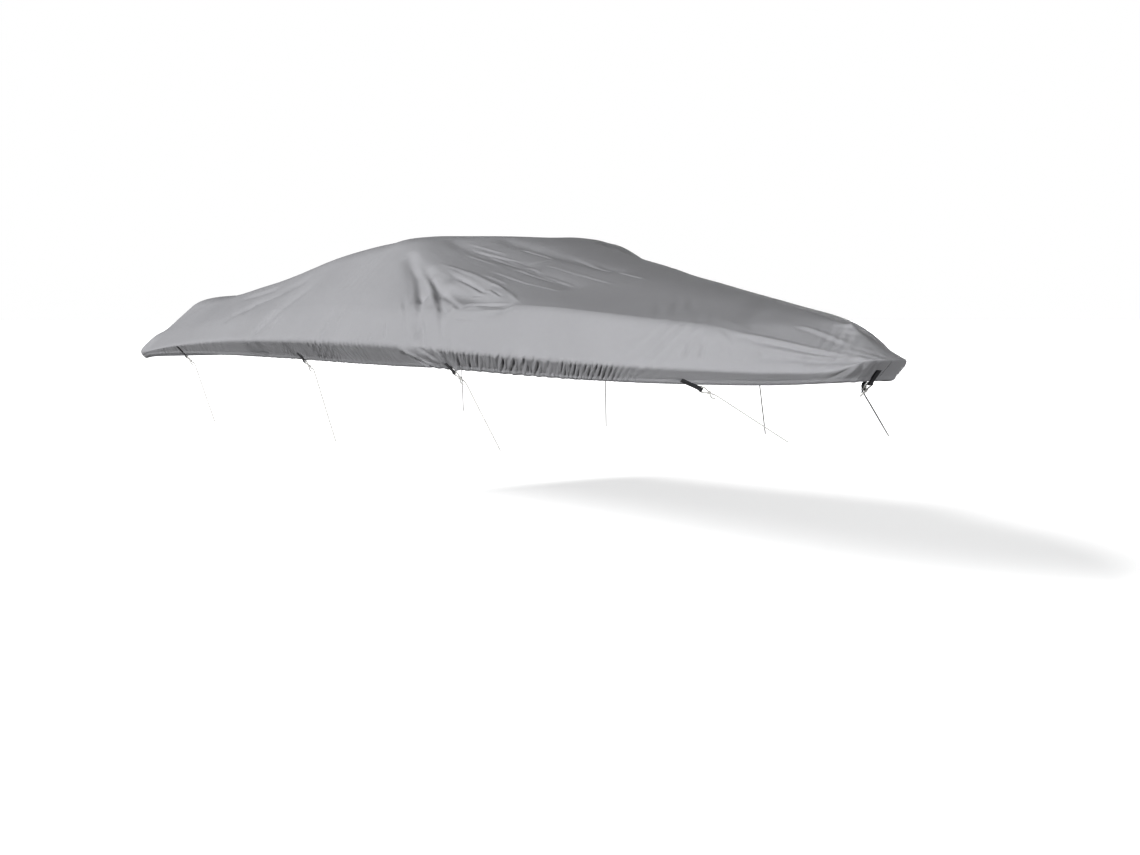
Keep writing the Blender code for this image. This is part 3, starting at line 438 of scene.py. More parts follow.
def crease_height(points, normals):
    """Height of all creases: a bell across each one's curve less another bell beside it,
    swelling and dying out along it with a smooth step at either end."""
    height = np.zeros(points.shape[:-1])
    for crease in CREASES:
        line = crease_curve(crease)
        reach = CREASE_REACH * crease.width
        low, high = line.min(0) - reach, line.max(0) + reach
        near = np.all((points > low) & (points < high), axis=-1)
        if not near.any():
            continue
        here, facing = points[near], normals[near]
        nearest = np.full(len(here), np.inf)
        along, across = np.zeros(len(here)), np.zeros(len(here))
        for index in range(CREASE_PARTS):
            leg = line[index + 1] - line[index]
            share = np.clip(((here - line[index]) @ leg) / (leg @ leg), 0, 1)
            off = here - line[index] - share[:, None] * leg
            distance = np.linalg.norm(off, axis=1)
            closer = distance < nearest
            nearest = np.where(closer, distance, nearest)
            along = np.where(closer, (index + share) / CREASE_PARTS, along)
            side = np.sign(np.einsum("ij,ij->i", np.cross(leg, facing), off))
            across = np.where(closer, side * distance, across)
        s = across / crease.width
        swell = smooth_step(np.minimum(along, 1 - along) / CREASE_FADE)
        turn = math.copysign(TROUGH_PLACE, crease.lean)
        bell = np.exp(-BELL * s ** 2) - abs(crease.lean) * np.exp(-BELL * (s - turn) ** 2)
        height[near] += crease.height * bell * swell
    return height


# A row for each stretch of finer pleats hanging from the rail to the hem: where it runs
# along the rail from the bow, how far apart the pleats are, how deep, how high they
# reach in corners, and how far they slant per corner.
Pleats = namedtuple("Pleats", "side start end pitch depth top slant")
PLEATS = [Pleats(*row) for row in (
    (STARBOARD, 1.12, 2.52, 0.0290, 0.0027, 1.07, 0.075),
    (STARBOARD, 1.25, 2.50, 0.0205, 0.0014, 1.05, 0.050),
    (STARBOARD, 1.50, 2.45, 0.0470, 0.0024, 1.08, 0.095),
    (STARBOARD, 2.75, 3.95, 0.0480, 0.0028, 1.10, 0.020),
    (STARBOARD, 3.30, 4.95, 0.0310, 0.0028, 1.08, 0.110),
    (STARBOARD, 5.05, 6.60, 0.0700, 0.0024, 1.10, 0.050),
    (PORT, 1.20, 2.70, 0.0320, 0.0023, 1.07, 0.075),
    (PORT, 1.40, 2.50, 0.0215, 0.0012, 1.05, 0.050),
    (PORT, 1.60, 2.60, 0.0490, 0.0024, 1.08, 0.095),
    (PORT, 3.20, 4.80, 0.0330, 0.0018, 1.08, 0.020),
    (PORT, 5.00, 6.40, 0.0650, 0.0014, 1.10, 0.050),
)]
PLEAT_FADE = 0.22       # the length over which a stretch of pleats begins and ends
PLEAT_SOFT = 0.26       # the height over which pleats die out, in corners
PLEAT_LEFT = 0.3        # the share of their depth left at the hem, drawn straight by its cord
PLEAT_DRAWN = 0.35      # the height over which that grows to the whole
PLEAT_SHARP = 0.45      # how much the pleats' crests are sharpened
# How the pleats' phase wanders, and how their depth swells: waves along the rail, each
# a size, a frequency and a start.
PLEAT_DRIFT = ((2.6, 4.1, 0.6), (1.5, 10.7, 2.1), (0.7, 27.3, 0.8))
PLEAT_SWELL = ((0.14, 5.3, 1.1), (0.22, 13.9, 0.4), (0.22, 31.7, 2.2))
HEM_WIDE = 0.024        # the casing of the hem's cord
HEM_PROUD = 0.0026
HEM_PUCKER = (0.0014, 0.021)    # depth and pitch of its puckers
HEM_DRIFT = (2.3, 9.1)          # how much their spacing wanders, and how fast
HEM_LINE = (1.04, 0.10, 0.4)    # the stitched line: place and width in casings, and depth
SEAM_WIDE = 0.013       # the felled seam where the top laps the side
SEAM_PROUD = 0.0002
SEAM_SOFT = 0.002       # the width of its step
SEAM_REACH = 2.2        # how far its puckers spread, in its widths
SEAM_PUCKER = (0.0002, 0.034)
SEAM_DRIFT = (1.9, 6.7)
GATHER_SHARE = 0.4      # of the solids' broad gathers, which the finer pleats break up
STILL_NEAR = 0.020      # cloth this close to a strap keeps the solids' shape
STILL_FAR = 0.060       # and beyond this it is free
STILL_SOFT = 0.6        # the height below the shoulder seam over which that begins, in corners


def wander(distance, terms):
    """A sum of sine waves along the rail, each a size, a frequency and a start."""
    return sum(size * np.sin(distance * speed + start) for size, speed, start in terms)


def stretch_share(distance, start, end, fade):
    """1 inside a stretch of the rail, and a smooth fall to 0 at its ends."""
    return smooth_step((distance - start) / fade) * smooth_step((end - distance) / fade)


def risen(points):
    """Distance up the cloth from its lowest level, for points in columns of levels."""
    rise = np.cumsum(np.linalg.norm(np.diff(points, axis=1), axis=-1), axis=1)
    return np.concatenate((np.zeros((len(points), 1)), rise), axis=1)


def pleat_height(distance, up, side):
    """Fine uneven pleats: waves along the rail with sharpened crests, slanting a little,
    dying out above the rail and at the ends of each stretch."""
    height = np.zeros(np.broadcast(distance, up).shape)
    for pleats in PLEATS:
        if pleats.side != side:
            continue
        inside = stretch_share(distance, pleats.start, pleats.end, PLEAT_FADE)
        walked = distance + pleats.slant * (up - RAIL)
        phase = 2 * math.pi * walked / pleats.pitch + wander(distance, PLEAT_DRIFT)
        wave = np.sin(phase + PLEAT_SHARP * np.sin(phase)) * (1 + wander(distance, PLEAT_SWELL))
        fade = smooth_step((pleats.top - up) / PLEAT_SOFT)
        fade = fade * (PLEAT_LEFT + (1 - PLEAT_LEFT) * smooth_step(up / PLEAT_DRAWN))
        height += pleats.depth * wave * inside * fade
    return height


# A row for each patch of fine ripples: its middle, the direction across the ripples,
# its reach along and across them, how far apart they are and how high.
Ripples = namedtuple("Ripples", "x out z across_x across_out across_z long wide pitch height")
RIPPLES = [Ripples(*row) for row in (
    (4.30, -0.55, 0.63, 0.00, 0.99, 0.10, 0.34, 0.22, 0.043, 0.0006),
    (4.60, -0.30, 0.60, 0.00, 0.99, 0.05, 0.38, 0.26, 0.051, 0.0005),
    (6.47, -0.12, 0.20, 0.30, 0.60, -0.74, 0.16, 0.09, 0.036, 0.0030),
    (6.60, -0.12, 0.08, -0.40, 0.85, 0.30, 0.10, 0.13, 0.042, 0.0030),
    (5.90, -0.55, 0.31, -0.30, -0.60, 0.74, 0.30, 0.10, 0.046, 0.0028),
    (6.48, 0.12, 0.20, 0.30, -0.60, -0.74, 0.16, 0.09, 0.037, 0.0030),
    (4.45, 0.50, 0.61, -0.20, 0.97, -0.10, 0.42, 0.30, 0.060, 0.0009),
    (5.00, 0.40, 0.50, -0.10, 0.98, -0.05, 0.38, 0.28, 0.050, 0.0007),
    (3.40, -0.95, 0.56, 0.90, 0.10, -0.30, 0.20, 0.35, 0.085, 0.0012),
    (2.20, -0.40, 0.60, 0.30, 0.95, 0.00, 0.45, 0.30, 0.090, 0.0007),
    (2.00, 0.45, 0.58, -0.25, 0.95, 0.00, 0.45, 0.30, 0.095, 0.0007),
    (0.12, -0.30, 0.30, 0.00, 1.00, 0.00, 0.22, 0.35, 0.110, 0.0012),
    (0.12, 0.35, 0.30, 0.00, 1.00, 0.00, 0.22, 0.35, 0.120, 0.0012),
)]
RIPPLE_DRIFT = (1.3, 2.1, 1.7)  # how much their phase wanders, and how fast across and along
# Slow unevenness of the whole cloth: size, frequencies along x, out and z, and start.
SWAY = ((0.0011, 3.1, 4.3, 6.1, 0.4), (0.0008, 6.3, -7.9, 5.7, 1.9),
        (0.0005, 12.7, 9.1, -14.3, 3.3))


def ripple_height(points):
    """Patches of parallel ripples: sine waves across, under a bell along and across."""
    height = np.zeros(points.shape[:-1])
    for patch in RIPPLES:
        off = points - np.array(patch[0:3])
        across = np.array(patch[3:6]) / np.linalg.norm(patch[3:6])
        s = off @ across
        t = np.sqrt(np.maximum(np.einsum("...i,...i", off, off) - s ** 2, 0))
        bell = np.exp(-(s / patch.wide) ** 2 - (t / patch.long) ** 2)
        most, across_speed, along_speed = RIPPLE_DRIFT
        drift = most * np.sin(s / patch.wide * across_speed + t / patch.long * along_speed)
        height += patch.height * bell * np.sin(2 * math.pi * s / patch.pitch + drift)
    return height


def sway_height(points):
    """The slow unevenness: a few long sine waves in three directions."""
    height = np.zeros(points.shape[:-1])
    for size, fast_x, fast_out, fast_z, start in SWAY:
        height += size * np.sin(points @ np.array((fast_x, fast_out, fast_z)) + start)
    return height


def near_straps(points, side):
    """1 on the cloth under and beside a strap, falling to 0 a little way off, from the
    distance to the strap's middle line."""
    still = np.zeros(points.shape[:-1])
    for label, tie, tie_side in all_ties():
        if tie_side != side and label != "bow":
            continue
        eye, down = tie_frame(tie, tie_side)[:2]
        off = points - CREST - (eye - down * tie.strap)
        share = np.clip(off @ down, 0, tie.strap)
        distance = np.linalg.norm(off - share[..., None] * down, axis=-1)
        fall = smooth_step((STILL_FAR - distance) / (STILL_FAR - STILL_NEAR))
        still = np.maximum(still, fall)
    return still


def hem_height(points, distance):
    """The casing round the hem's cord: half an ellipse across, puckered along, with the
    stitched line above it drawn in."""
    s = risen(points) / HEM_WIDE
    casing = np.sqrt(np.maximum(1 - (2 * s - 1) ** 2, 0))
    casing = casing * (HEM_PROUD + puckers(distance, *HEM_PUCKER, HEM_DRIFT))
    place, width, depth = HEM_LINE
    return casing - depth * HEM_PROUD * np.exp(-((s - place) / width) ** 2)


def seam_height(points, distance):
    """The felled seam on the top's edge: a flat step along it, and small puckers from the
    thread's pull."""
    rise = risen(points)
    near = np.exp(-(rise / (SEAM_REACH * SEAM_WIDE)) ** 2)
    return (SEAM_PROUD * smooth_step((SEAM_WIDE - rise) / SEAM_SOFT)
            + near * puckers(distance, *SEAM_PUCKER, SEAM_DRIFT))


def cloth_points(place, up, side):
    """Outer face of the finished cloth, in the table's axes, by columns at the places and
    levels: the plain cover raised along its normals by the main folds, gathers, creases,
    pleats, ripples and sway. Also its normals and its distance along the rail."""
    place, up = np.broadcast_arrays(place[:, None], up)
    distance = distance_at(place)
    points = plain_points(place, up, side)
    normals = outward(place, up, side)
    still = near_straps(points, side) * smooth_step((SIDE - up) / STILL_SOFT)
    gathers = gather_height(distance, up, side) * (GATHER_SHARE + (1 - GATHER_SHARE) * still)
    fine = crease_height(points, normals) + pleat_height(distance, up, side)
    fine += ripple_height(points) + sway_height(points)
    height = fold_height(points) + gathers + (1 - still) * fine
    return points + normals * height[..., None], normals, distance


# ---- meshes ----
CLOTH_THIN = 0.0012
SEAM_LAP = 0.004        # how far the top's edge laps over the side's
END_GAP = 0.0006        # half the gap of the bow and stern seams, in rows of the table
# The last level but one of a side lies under the top's lap, with the turn of its edge.
SIDE_LEVELS = (0, 0.04, 0.09, 0.15, 0.20, 0.25, 0.32, 0.40, 0.49, 0.58, 0.67, 0.76, 0.84,
               0.91, 0.97, 1.02, 1.07, 1.13, 1.20, 1.28, 1.36, 1.44, 1.52, 1.60, 1.68, 1.76,
               1.84, 1.91, 1.96, 1.99, 2)
TOP_LEVELS = (2, 2.02, 2.042, 2.07, 2.11, 2.16, 2.21)
TOP_RUNS = ((3, 0.028), (3.76, 0.0110), (SPINE, 0.030))     # on to a level, by steps
SIDE_STEPS = ((1.15, 2.75, 0.0045), (2.90, 4.95, 0.0045))   # from, to, and columns' step
SIDE_PLAIN_STEP = 0.0085                                    # and elsewhere
TOP_STEPS = ((0.00, 1.10, 0.0180), (1.10, 3.75, 0.0125), (3.60, 5.90, 0.0200))
TOP_PLAIN_STEP = 0.045
STEP_SOFT = 0.15        # the length over which the step changes


def column_places(stretches, plain):
    """Places of mesh columns whose step shrinks smoothly inside the given stretches of the
    rail: even steps of the summed density, read back as places."""
    places, distances = rail_distances()
    density = np.full(len(distances), 1 / plain)
    for start, end, step in stretches:
        inside = stretch_share(distances, start, end, STEP_SOFT)
        density = np.maximum(density, 1 / plain + (1 / step - 1 / plain) * inside)
    steps = np.diff(distances) * (density[1:] + density[:-1]) / 2
    summed = np.concatenate(([0.0], np.cumsum(steps)))
    count = int(round(summed[-1]))
    return np.interp(np.linspace(0, summed[-1], count + 1), summed, places)


def grid_quads(columns, levels):
    """Corner numbers of a grid's quads, for points listed column by column."""
    a = (np.arange(columns - 1)[:, None] * levels + np.arange(levels - 1)).ravel()
    return np.stack([a, a + levels, a + levels + 1, a + 1], -1)


def flat_corners(along, across, faces):
    """The quads' corners on the flat, from the ways along and across at each grid point."""
    return np.stack(np.broadcast_arrays(along, across), -1).reshape(-1, 2)[faces.ravel()]


def made_mesh(name, points, faces, flat=None):
    """A smooth mesh from arrays of points, faces and the faces' corners on the flat."""
    mesh = bpy.data.meshes.new(name)
    mesh.vertices.add(len(points))
    mesh.vertices.foreach_set("co", np.ascontiguousarray(points, np.float32).ravel())
    mesh.loops.add(faces.size)
    mesh.loops.foreach_set("vertex_index", faces.astype(np.int32).ravel())
    mesh.polygons.add(len(faces))
    mesh.polygons.foreach_set("loop_start",
                              np.arange(0, faces.size, faces.shape[1], dtype=np.int32))
    if flat is not None:
        layer = mesh.uv_layers.new(name="flat")
        layer.data.foreach_set("uv", np.ascontiguousarray(flat, np.float32).ravel())
    mesh.update(calc_edges=True)
    mesh.validate()
    mesh.shade_smooth()
    return mesh


def face_outward(mesh):
    """Turns a closed mesh's faces outward."""
    working = bmesh.new()
    working.from_mesh(mesh)
    bmesh.ops.recalc_face_normals(working, faces=working.faces)
    working.to_mesh(mesh)
    working.free()
    return mesh


def only_used(points, faces):
    """The points that the faces use, and the faces numbered by them."""
    used, numbered = np.unique(faces, return_inverse=True)
    return points[used], numbered.reshape(faces.shape)


def tube(rings, along, across):
    """A tube through rings of points: points, quads, flat corners from the ways along and
    across it, and the rings' numbers. Its points are listed with each ring's first twice."""
    closed = np.concatenate((rings, rings[:, :1]), axis=1)
    number = np.arange(closed[..., 0].size).reshape(closed.shape[:2])
    number[:, -1] = number[:, 0]
    faces = grid_quads(*number.shape)
    flat = flat_corners(along[:, None], across, faces)
    return closed.reshape(-1, 3), number.ravel()[faces], flat, number


def put(name, mesh, material, nodes):
    """Puts a mesh in the scene as a piece that stands for CAD nodes."""
    mesh.materials.append(material)
    piece = bpy.data.objects.new(name, mesh)
    bpy.context.scene.collection.objects.link(piece)
    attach(piece, BODY)
    if nodes:
        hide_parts(*nodes)
    return piece


def thicken(piece, thickness):
    """Gives a sheet its thickness, inwards."""
    wall = piece.modifiers.new("thickness", "SOLIDIFY")
    wall.thickness = thickness
    wall.offset = -1
    wall.use_rim = True


def side_sheet(side):
    """Points, quads and flat corners of a side panel: columns along the rail by levels from
    the hem to the seam, with the hem's casing added along the normals."""
    place = column_places(SIDE_STEPS, SIDE_PLAIN_STEP)
    place[0] += END_GAP
    place[-1] -= END_GAP
    points, normals, distance = cloth_points(place, SIDE_LEVELS, side)
    points = points + normals * hem_height(points, distance)[..., None]
    faces = grid_quads(*distance.shape)[:, ::side]
    flat = flat_corners(distance, risen(points), faces)
    return points.reshape(-1, 3) - CREST, faces, flat


def top_sheet():
    """The top panel's points, quads and flat corners: both sides' grids from the seam to
    the spine, sharing the spine's points and those at the bow and stern middle."""
    place = column_places(TOP_STEPS, TOP_PLAIN_STEP)
    levels = [np.array(TOP_LEVELS)]
    for end, step in TOP_RUNS:
        count = math.ceil((end - levels[-1][-1]) / step)
        levels.append(np.linspace(levels[-1][-1], end, count + 1)[1:])
    levels = np.concatenate(levels)
    level = np.tile(levels, (len(place), 1))
    leg = np.linalg.norm(np.diff(corners(place)[:, [SIDE, EDGE]], axis=1)[:, 0], axis=-1)
    level[:, 0] = SIDE - SEAM_LAP / leg
    number = np.arange(level.size).reshape(level.shape)
    shared = number + level.size
    shared[0], shared[-1], shared[:, -1] = number[0], number[-1], number[:, -1]
    points, faces, flat = [], [], []
    for side in (STARBOARD, PORT):
        grid, normals, distance = cloth_points(place, level, side)
        raised = grid + normals * seam_height(grid, distance)[..., None]
        quads = grid_quads(*level.shape)[:, ::side]
        flat.append(flat_corners(-side * distance, risen(grid), quads))
        faces.append(quads if side == STARBOARD else shared.ravel()[quads])
        points.append(raised.reshape(-1, 3))
    points, faces = only_used(np.concatenate(points), np.concatenate(faces))
    return points - CREST, faces, np.concatenate(flat)


# ---- ties ----
STRAP_WIDE = 0.025      # a strap's width
STRAP_THICK = 0.0014    # and its thickness
STRAP_APART = 0.0022    # between the middles of the strap's two layers
STRAP_CLEAR = 0.0020    # between the strap and the cloth under it
STRAP_STEEP = 1.6       # the strap falls this much more steeply than its cord
EYE_RADIUS = 0.007      # of the strap's round end, at its middle
CORD_THICK = 0.006      # a cord's diameter, at first
PATCH_REACH = 0.20      # rows of cloth each side of a strap that it must lie clear of
PATCH_COLUMNS = 13
PATCH_LEVELS = 7
LIP_ANGLE = 145         # degrees round the eye from its foot to the strap's neck
EYE_STEPS = 41
NECK = 2.1              # from the eye's middle to the neck, in eye radii
UNDER_LAYER = 0.94      # length of the strap's under layer against its outer one
CORD_STEP = 0.017       # between the points of a cord
CORD_START = 0.03       # the straight length with which a cord leaves its knot
CORD_SHARES = (0, 0.33, 0.66, 1.0)      # of its run, where its path has points
KNOT_HALF = 0.013       # half the knot's length
KNOT_DROP = 0.040       # from the eye's middle to the knot's middle
KNOT_GAP = 0.0006       # between the knot and its cord
WALK_PARTS = 40         # fine steps to each point of a path, where it is measured
START_ACROSS = (0.31, 0.77, 0.55)       # a direction that no path starts along

# A row for each tie of one side: x of the strap, the level of its top on the skirt, its
# length to the eye, and the run of its cord from the knot: forward, inboard and down.
Tie = namedtuple("Tie", "x level strap forward inboard down")
SIDE_TIES = [Tie(*row) for row in (
    (1.05, 0.90, 0.100, 0.160, 0.080, 0.410),
    (3.03, 0.42, 0.070, 0.120, 0.080, 0.425),
    (4.67, 0.38, 0.068, 0.170, 0.100, 0.340),
    (5.97, 0.30, 0.100, 0.310, 0.150, 0.197),
)]
BOW_TIE = Tie(6.668, 0.55, 0.088, -0.060, 0.010, 0.080)     # its knot carries no long cord
PORT_SHIFT = 0.03       # the far side's ties sit this much further forward

# The knot's cord: up through the turns and the strap's eye, as across and down from it,
# then round itself, and its cut tail, as across, down and out.
BIGHT = (
    (0.0000, 0.0530), (0.0000, 0.0470), (0.0006, 0.0400), (0.0040, 0.0325),
    (0.0110, 0.0215), (0.0172, 0.0090), (0.0160, 0.0015), (0.0090, 0.0000),
    (-0.0090, 0.0000), (-0.0160, 0.0015), (-0.0172, 0.0090), (-0.0120, 0.0215),
)
TAIL = ((0.0060, 0.0520, 0.0080), (0.0110, 0.0575, 0.0088), (0.0150, 0.0660, 0.0090),
        (0.0130, 0.0790, 0.0060))
TURN_RADIUS = 0.0062    # of the turns round the standing part, at their middle
TURN_PITCH = 0.0068     # the fall in one turn
TURN_START = 0.0340     # how far down from the eye they begin
TURN_COUNT = 2.25
TURN_POINTS = 12        # to a turn


def side_ties():
    """Every tie but the bow's as its name, its row and its side."""
    return [("%s_%d" % (SIDE_NAMES[side], number), tie._replace(x=tie.x + shift), side)
            for side, shift in ((STARBOARD, 0), (PORT, PORT_SHIFT))
            for number, tie in enumerate(SIDE_TIES, 1)]


def all_ties():
    """Every tie as its name, its row and its side."""
    return side_ties() + [("bow", BOW_TIE, STARBOARD)]


def place_of(x):
    """The place on the rail at a distance x from the transom."""
    place = np.linspace(0, SIDE_END, SIDE_END * ROW_PARTS + 1)
    return float(np.interp(-x, -curve("rail", place)[:, 0], place))


def tie_frame(tie, side):
    """Where a tie's eye is, with unit vectors down the strap, outward and across it. They
    are worked out from the solids' cloth, as the solids' own straps are."""
    place = place_of(tie.x)
    near = place + np.linspace(-PATCH_REACH, PATCH_REACH, PATCH_COLUMNS)[:, None]
    levels = np.linspace(0, tie.level, PATCH_LEVELS)
    patch = solid_points(*np.broadcast_arrays(abs(near), levels), side)
    middle_column, middle_level = PATCH_COLUMNS // 2, PATCH_LEVELS // 2
    low, high = patch[middle_column, 0], patch[middle_column, -1]
    along = patch[0, middle_level] - patch[-1, middle_level]
    out = np.cross(along, low - high) * side
    out /= np.linalg.norm(out)
    stand = ((patch - high) @ out).max() + STRAP_CLEAR + (STRAP_APART + STRAP_THICK) / 2
    run = np.array((tie.forward, -side * tie.inboard, -tie.down * STRAP_STEEP))
    down = run - out * (run @ out)
    down /= np.linalg.norm(down)
    eye = high + out * stand + down * tie.strap
    return eye, down, out, np.cross(down, out) * -side


def smooth_path(points, step):
    """Points at an even step along a Catmull-Rom curve through the given ones."""
    points = np.array(points, float)
    padded = np.vstack([2 * points[0] - points[1], points, 2 * points[-1] - points[-2]])
    place = np.linspace(0, len(points) - 1, WALK_PARTS * len(points))
    row = np.clip(place.astype(int), 0, len(points) - 2)
    fine = catmull_rom(padded, row, (place - row)[:, None])
    walked = walked_along(fine)
    even = np.linspace(0, walked[-1], max(2, round(walked[-1] / step) + 1))
    return np.stack([np.interp(even, walked, fine[:, axis]) for axis in range(3)], -1)


def cord_path(tie, side):
    """The tie's cord, from under its knot along its run, as its solid has it."""
    eye, down = tie_frame(tie, side)[:2]
    start = eye + down * (KNOT_DROP + KNOT_HALF + KNOT_GAP)
    run = np.array((tie.forward, -side * tie.inboard, -tie.down))
    bend = start + down * CORD_START
    return smooth_path([start] + [bend + run * share for share in CORD_SHARES], CORD_STEP)


def carried_frames(points):
    """Unit vectors across a path that turn no more than they must: each pair is the last
    one laid square to the path's new direction."""
    direction = np.gradient(points, axis=0)
    direction /= np.linalg.norm(direction, axis=1)[:, None]
    first = np.cross(direction[0], START_ACROSS)
    firsts = []
    for ahead in direction:
        first = first - ahead * (first @ ahead)
        first /= np.linalg.norm(first)
        firsts.append(first)
    firsts = np.array(firsts)
    return firsts, np.cross(direction, firsts)


ROPE_SIDES = 18
STRANDS = 3
STRAND_GROOVE = 0.17    # depth of the grooves between strands, as a share of the radius
LAY_LENGTH = 0.021      # the length in which a strand goes once round
ROPE_STEP = 0.0016
ROPE_FULL = 1.04        # makes up in the strands for their grooves
END_ROUND = 0.0022      # the length over which a cut, melted end closes
END_LEFT = 0.0004       # what is left of its squared radius at the very end


def rope_mesh(name, path, diameter):
    """A laid rope: round the path at each step goes a circle drawn in between its strands,
    and that outline turns once in each lay length. The ends close to a point."""
    path = smooth_path(path, ROPE_STEP)
    walked = walked_along(path)
    first, second = carried_frames(path)
    turn = np.arange(ROPE_SIDES) * 2 * math.pi / ROPE_SIDES
    phase = turn - 2 * math.pi * walked[:, None] / LAY_LENGTH
    lobes = 1 - STRAND_GROOVE * (1 - abs(np.cos(phase * STRANDS / 2)))
    end = np.clip(np.minimum(walked, walked[-1] - walked) / END_ROUND, 0, 1)
    close = np.sqrt(np.clip(1 - (1 - end) ** 2, END_LEFT, 1))
    radius = diameter / 2 * ROPE_FULL * lobes * close[:, None]
    ring = first[:, None] * np.cos(turn)[:, None] + second[:, None] * np.sin(turn)[:, None]
    points, faces, flat, _ = tube(path[:, None] + ring * radius[..., None], walked,
                                  np.arange(ROPE_SIDES + 1) / ROPE_SIDES)
    points, faces = only_used(points, faces)
    return made_mesh(name, points, faces[:, ::-1],
                     flat.reshape(-1, 4, 2)[:, ::-1].reshape(-1, 2))


def knot_path(tie, side):
    """The knot's cord: the bight through the eye, two turns and more round its own standing
    part, as a screw line, and the tail."""
    eye, down, out, across = tie_frame(tie, side)
    bight = [eye + across * wide + down * fall for wide, fall in BIGHT]
    turned = np.linspace(0, TURN_COUNT, int(TURN_COUNT * TURN_POINTS) + 1)
    angle = math.pi - 2 * math.pi * turned
    turns = [eye + across * TURN_RADIUS * math.cos(a) + out * TURN_RADIUS * math.sin(a)
             + down * (TURN_START + TURN_PITCH * t) for a, t in zip(angle, turned)]
    tail = [eye + across * wide + down * fall + out * lift for wide, fall, lift in TAIL]
    return bight + turns + tail


STRAP_POINTS = 23       # across the strap
LAYER_POINTS = 12       # along each of its layers
RIBS = 9
RIB_HEIGHT = 0.00016
RIB_FADE = 4            # how late the ribs die out towards the edges, as a power
EDGE_FLAT = 7           # how late the strap thins towards its edges, as a power
EDGE_THIN = 0.02        # and what is left of its squared thickness there


def strap_mesh(name, tie, side):
    """A ribbed strap folded round its eye: its outline, flat with rounded edges, carried
    along a path that runs down, round the eye and back up."""
    eye, down, out, across = tie_frame(tie, side)
    half, neck = STRAP_APART / 2, -NECK * EYE_RADIUS
    angles = np.radians(np.linspace(LIP_ANGLE, -LIP_ANGLE, EYE_STEPS))
    ring = np.stack([EYE_RADIUS * np.cos(angles), EYE_RADIUS * np.sin(angles)], -1)
    outer = np.linspace((-tie.strap, half), (neck, half), LAYER_POINTS)
    under = np.linspace((neck, -half), (-tie.strap * UNDER_LAYER, -half), LAYER_POINTS)
    path = np.concatenate((outer, ring, under))
    ahead = np.gradient(path, axis=0)
    ahead /= np.linalg.norm(ahead, axis=1)[:, None]
    facing = np.stack([-ahead[:, 1], ahead[:, 0]], -1)
    share = np.linspace(-1, 1, STRAP_POINTS)
    thick = STRAP_THICK / 2 * np.sqrt(np.clip(1 - abs(share) ** EDGE_FLAT, EDGE_THIN, 1))
    thick = thick + RIB_HEIGHT * np.cos(math.pi * share * RIBS) * (1 - share ** RIB_FADE)
    wide = np.concatenate((share, share[::-1])) * STRAP_WIDE / 2
    lift = np.concatenate((thick, -thick[::-1]))
    section = path[:, None] + facing[:, None] * lift[:, None]
    points = eye + section[..., :1] * down + section[..., 1:] * out + wide[:, None] * across
    points, faces, flat, number = tube(points, walked_along(path), np.append(wide, wide[0]))
    low, high = number[0, :-1], number[-1, :-1]
    pairs = np.arange(STRAP_POINTS - 1)
    back = len(wide) - 1 - pairs
    ends = np.concatenate((
        np.stack([low[pairs], low[pairs + 1], low[back - 1], low[back]], -1),
        np.stack([high[pairs + 1], high[pairs], high[back], high[back - 1]], -1)))
    flat = np.concatenate((flat, np.zeros((ends.size, 2))))
    points, faces = only_used(points, np.concatenate((faces, ends)))
    return face_outward(made_mesh(name, points, faces, flat))


# ---- sewing ----
STITCH_PITCH = 0.0052   # from one stitch to the next
STITCH_LONG = 0.0034    # a stitch's length
STITCH_WIDE = 0.0008    # and its width
STITCH_PROUD = 0.0003   # how far it stands out of the cloth
SEAM_ROWS = (0.0030, 0.0105)        # the felled seam's two rows, above its edge
HEM_ROW = 0.0252                    # and the casing's one, above the hem
SEAM_LEVELS = TOP_LEVELS[:4]        # the strips of cloth on which they are found
HEM_LEVELS = SIDE_LEVELS[:9]


def stitch_row(rise_wanted, side, levels, edge_height):
    """Middles, directions and facings of a row of stitches that runs at one rise above a
    panel's edge: even steps along the rail, read off a fine strip of the finished cloth."""
    places, distances = rail_distances()
    count = int(distances[-1] / STITCH_PITCH)
    place = np.interp((np.arange(count) + 0.5) * STITCH_PITCH, distances, places)
    points, normals, distance = cloth_points(place, levels, side)
    rise = risen(points)
    points = points + normals * edge_height(points, distance)[..., None]
    upper = np.clip((rise < rise_wanted).sum(axis=1), 1, len(levels) - 1)
    row = np.arange(count)
    gap = rise[row, upper] - rise[row, upper - 1]
    share = ((rise_wanted - rise[row, upper - 1]) / gap)[:, None]
    middle = points[row, upper - 1] * (1 - share) + points[row, upper] * share
    facing = normals[row, upper]
    along = np.gradient(middle, axis=0)
    along /= np.linalg.norm(along, axis=1)[:, None]
    return middle, along, facing


def stitches_mesh(name, rows):
    """Stitches as one mesh: each is a long eight-faced bead of thread, thickest in its
    middle and half sunk in the cloth."""
    middle, along, facing = (np.concatenate(part) for part in zip(*rows))
    beside = np.cross(along, facing)
    beside /= np.linalg.norm(beside, axis=1)[:, None]
    long, wide = STITCH_LONG / 2, STITCH_WIDE / 2
    shape = np.array(((-long, 0, 0), (long, 0, 0), (0, -wide, 0), (0, wide, 0),
                      (0, 0, STITCH_PROUD), (0, 0, -STITCH_PROUD)))
    points = (middle[:, None] + shape[:, :1] * along[:, None]
              + shape[:, 1:2] * beside[:, None] + shape[:, 2:] * facing[:, None])
    one = np.array(((0, 4, 2), (1, 2, 4), (0, 3, 4), (1, 4, 3),
                    (0, 2, 5), (1, 5, 2), (0, 5, 3), (1, 3, 5)))
    faces = (np.arange(len(middle))[:, None, None] * len(shape) + one).reshape(-1, 3)
    return face_outward(made_mesh(name, points.reshape(-1, 3) - CREST, faces))


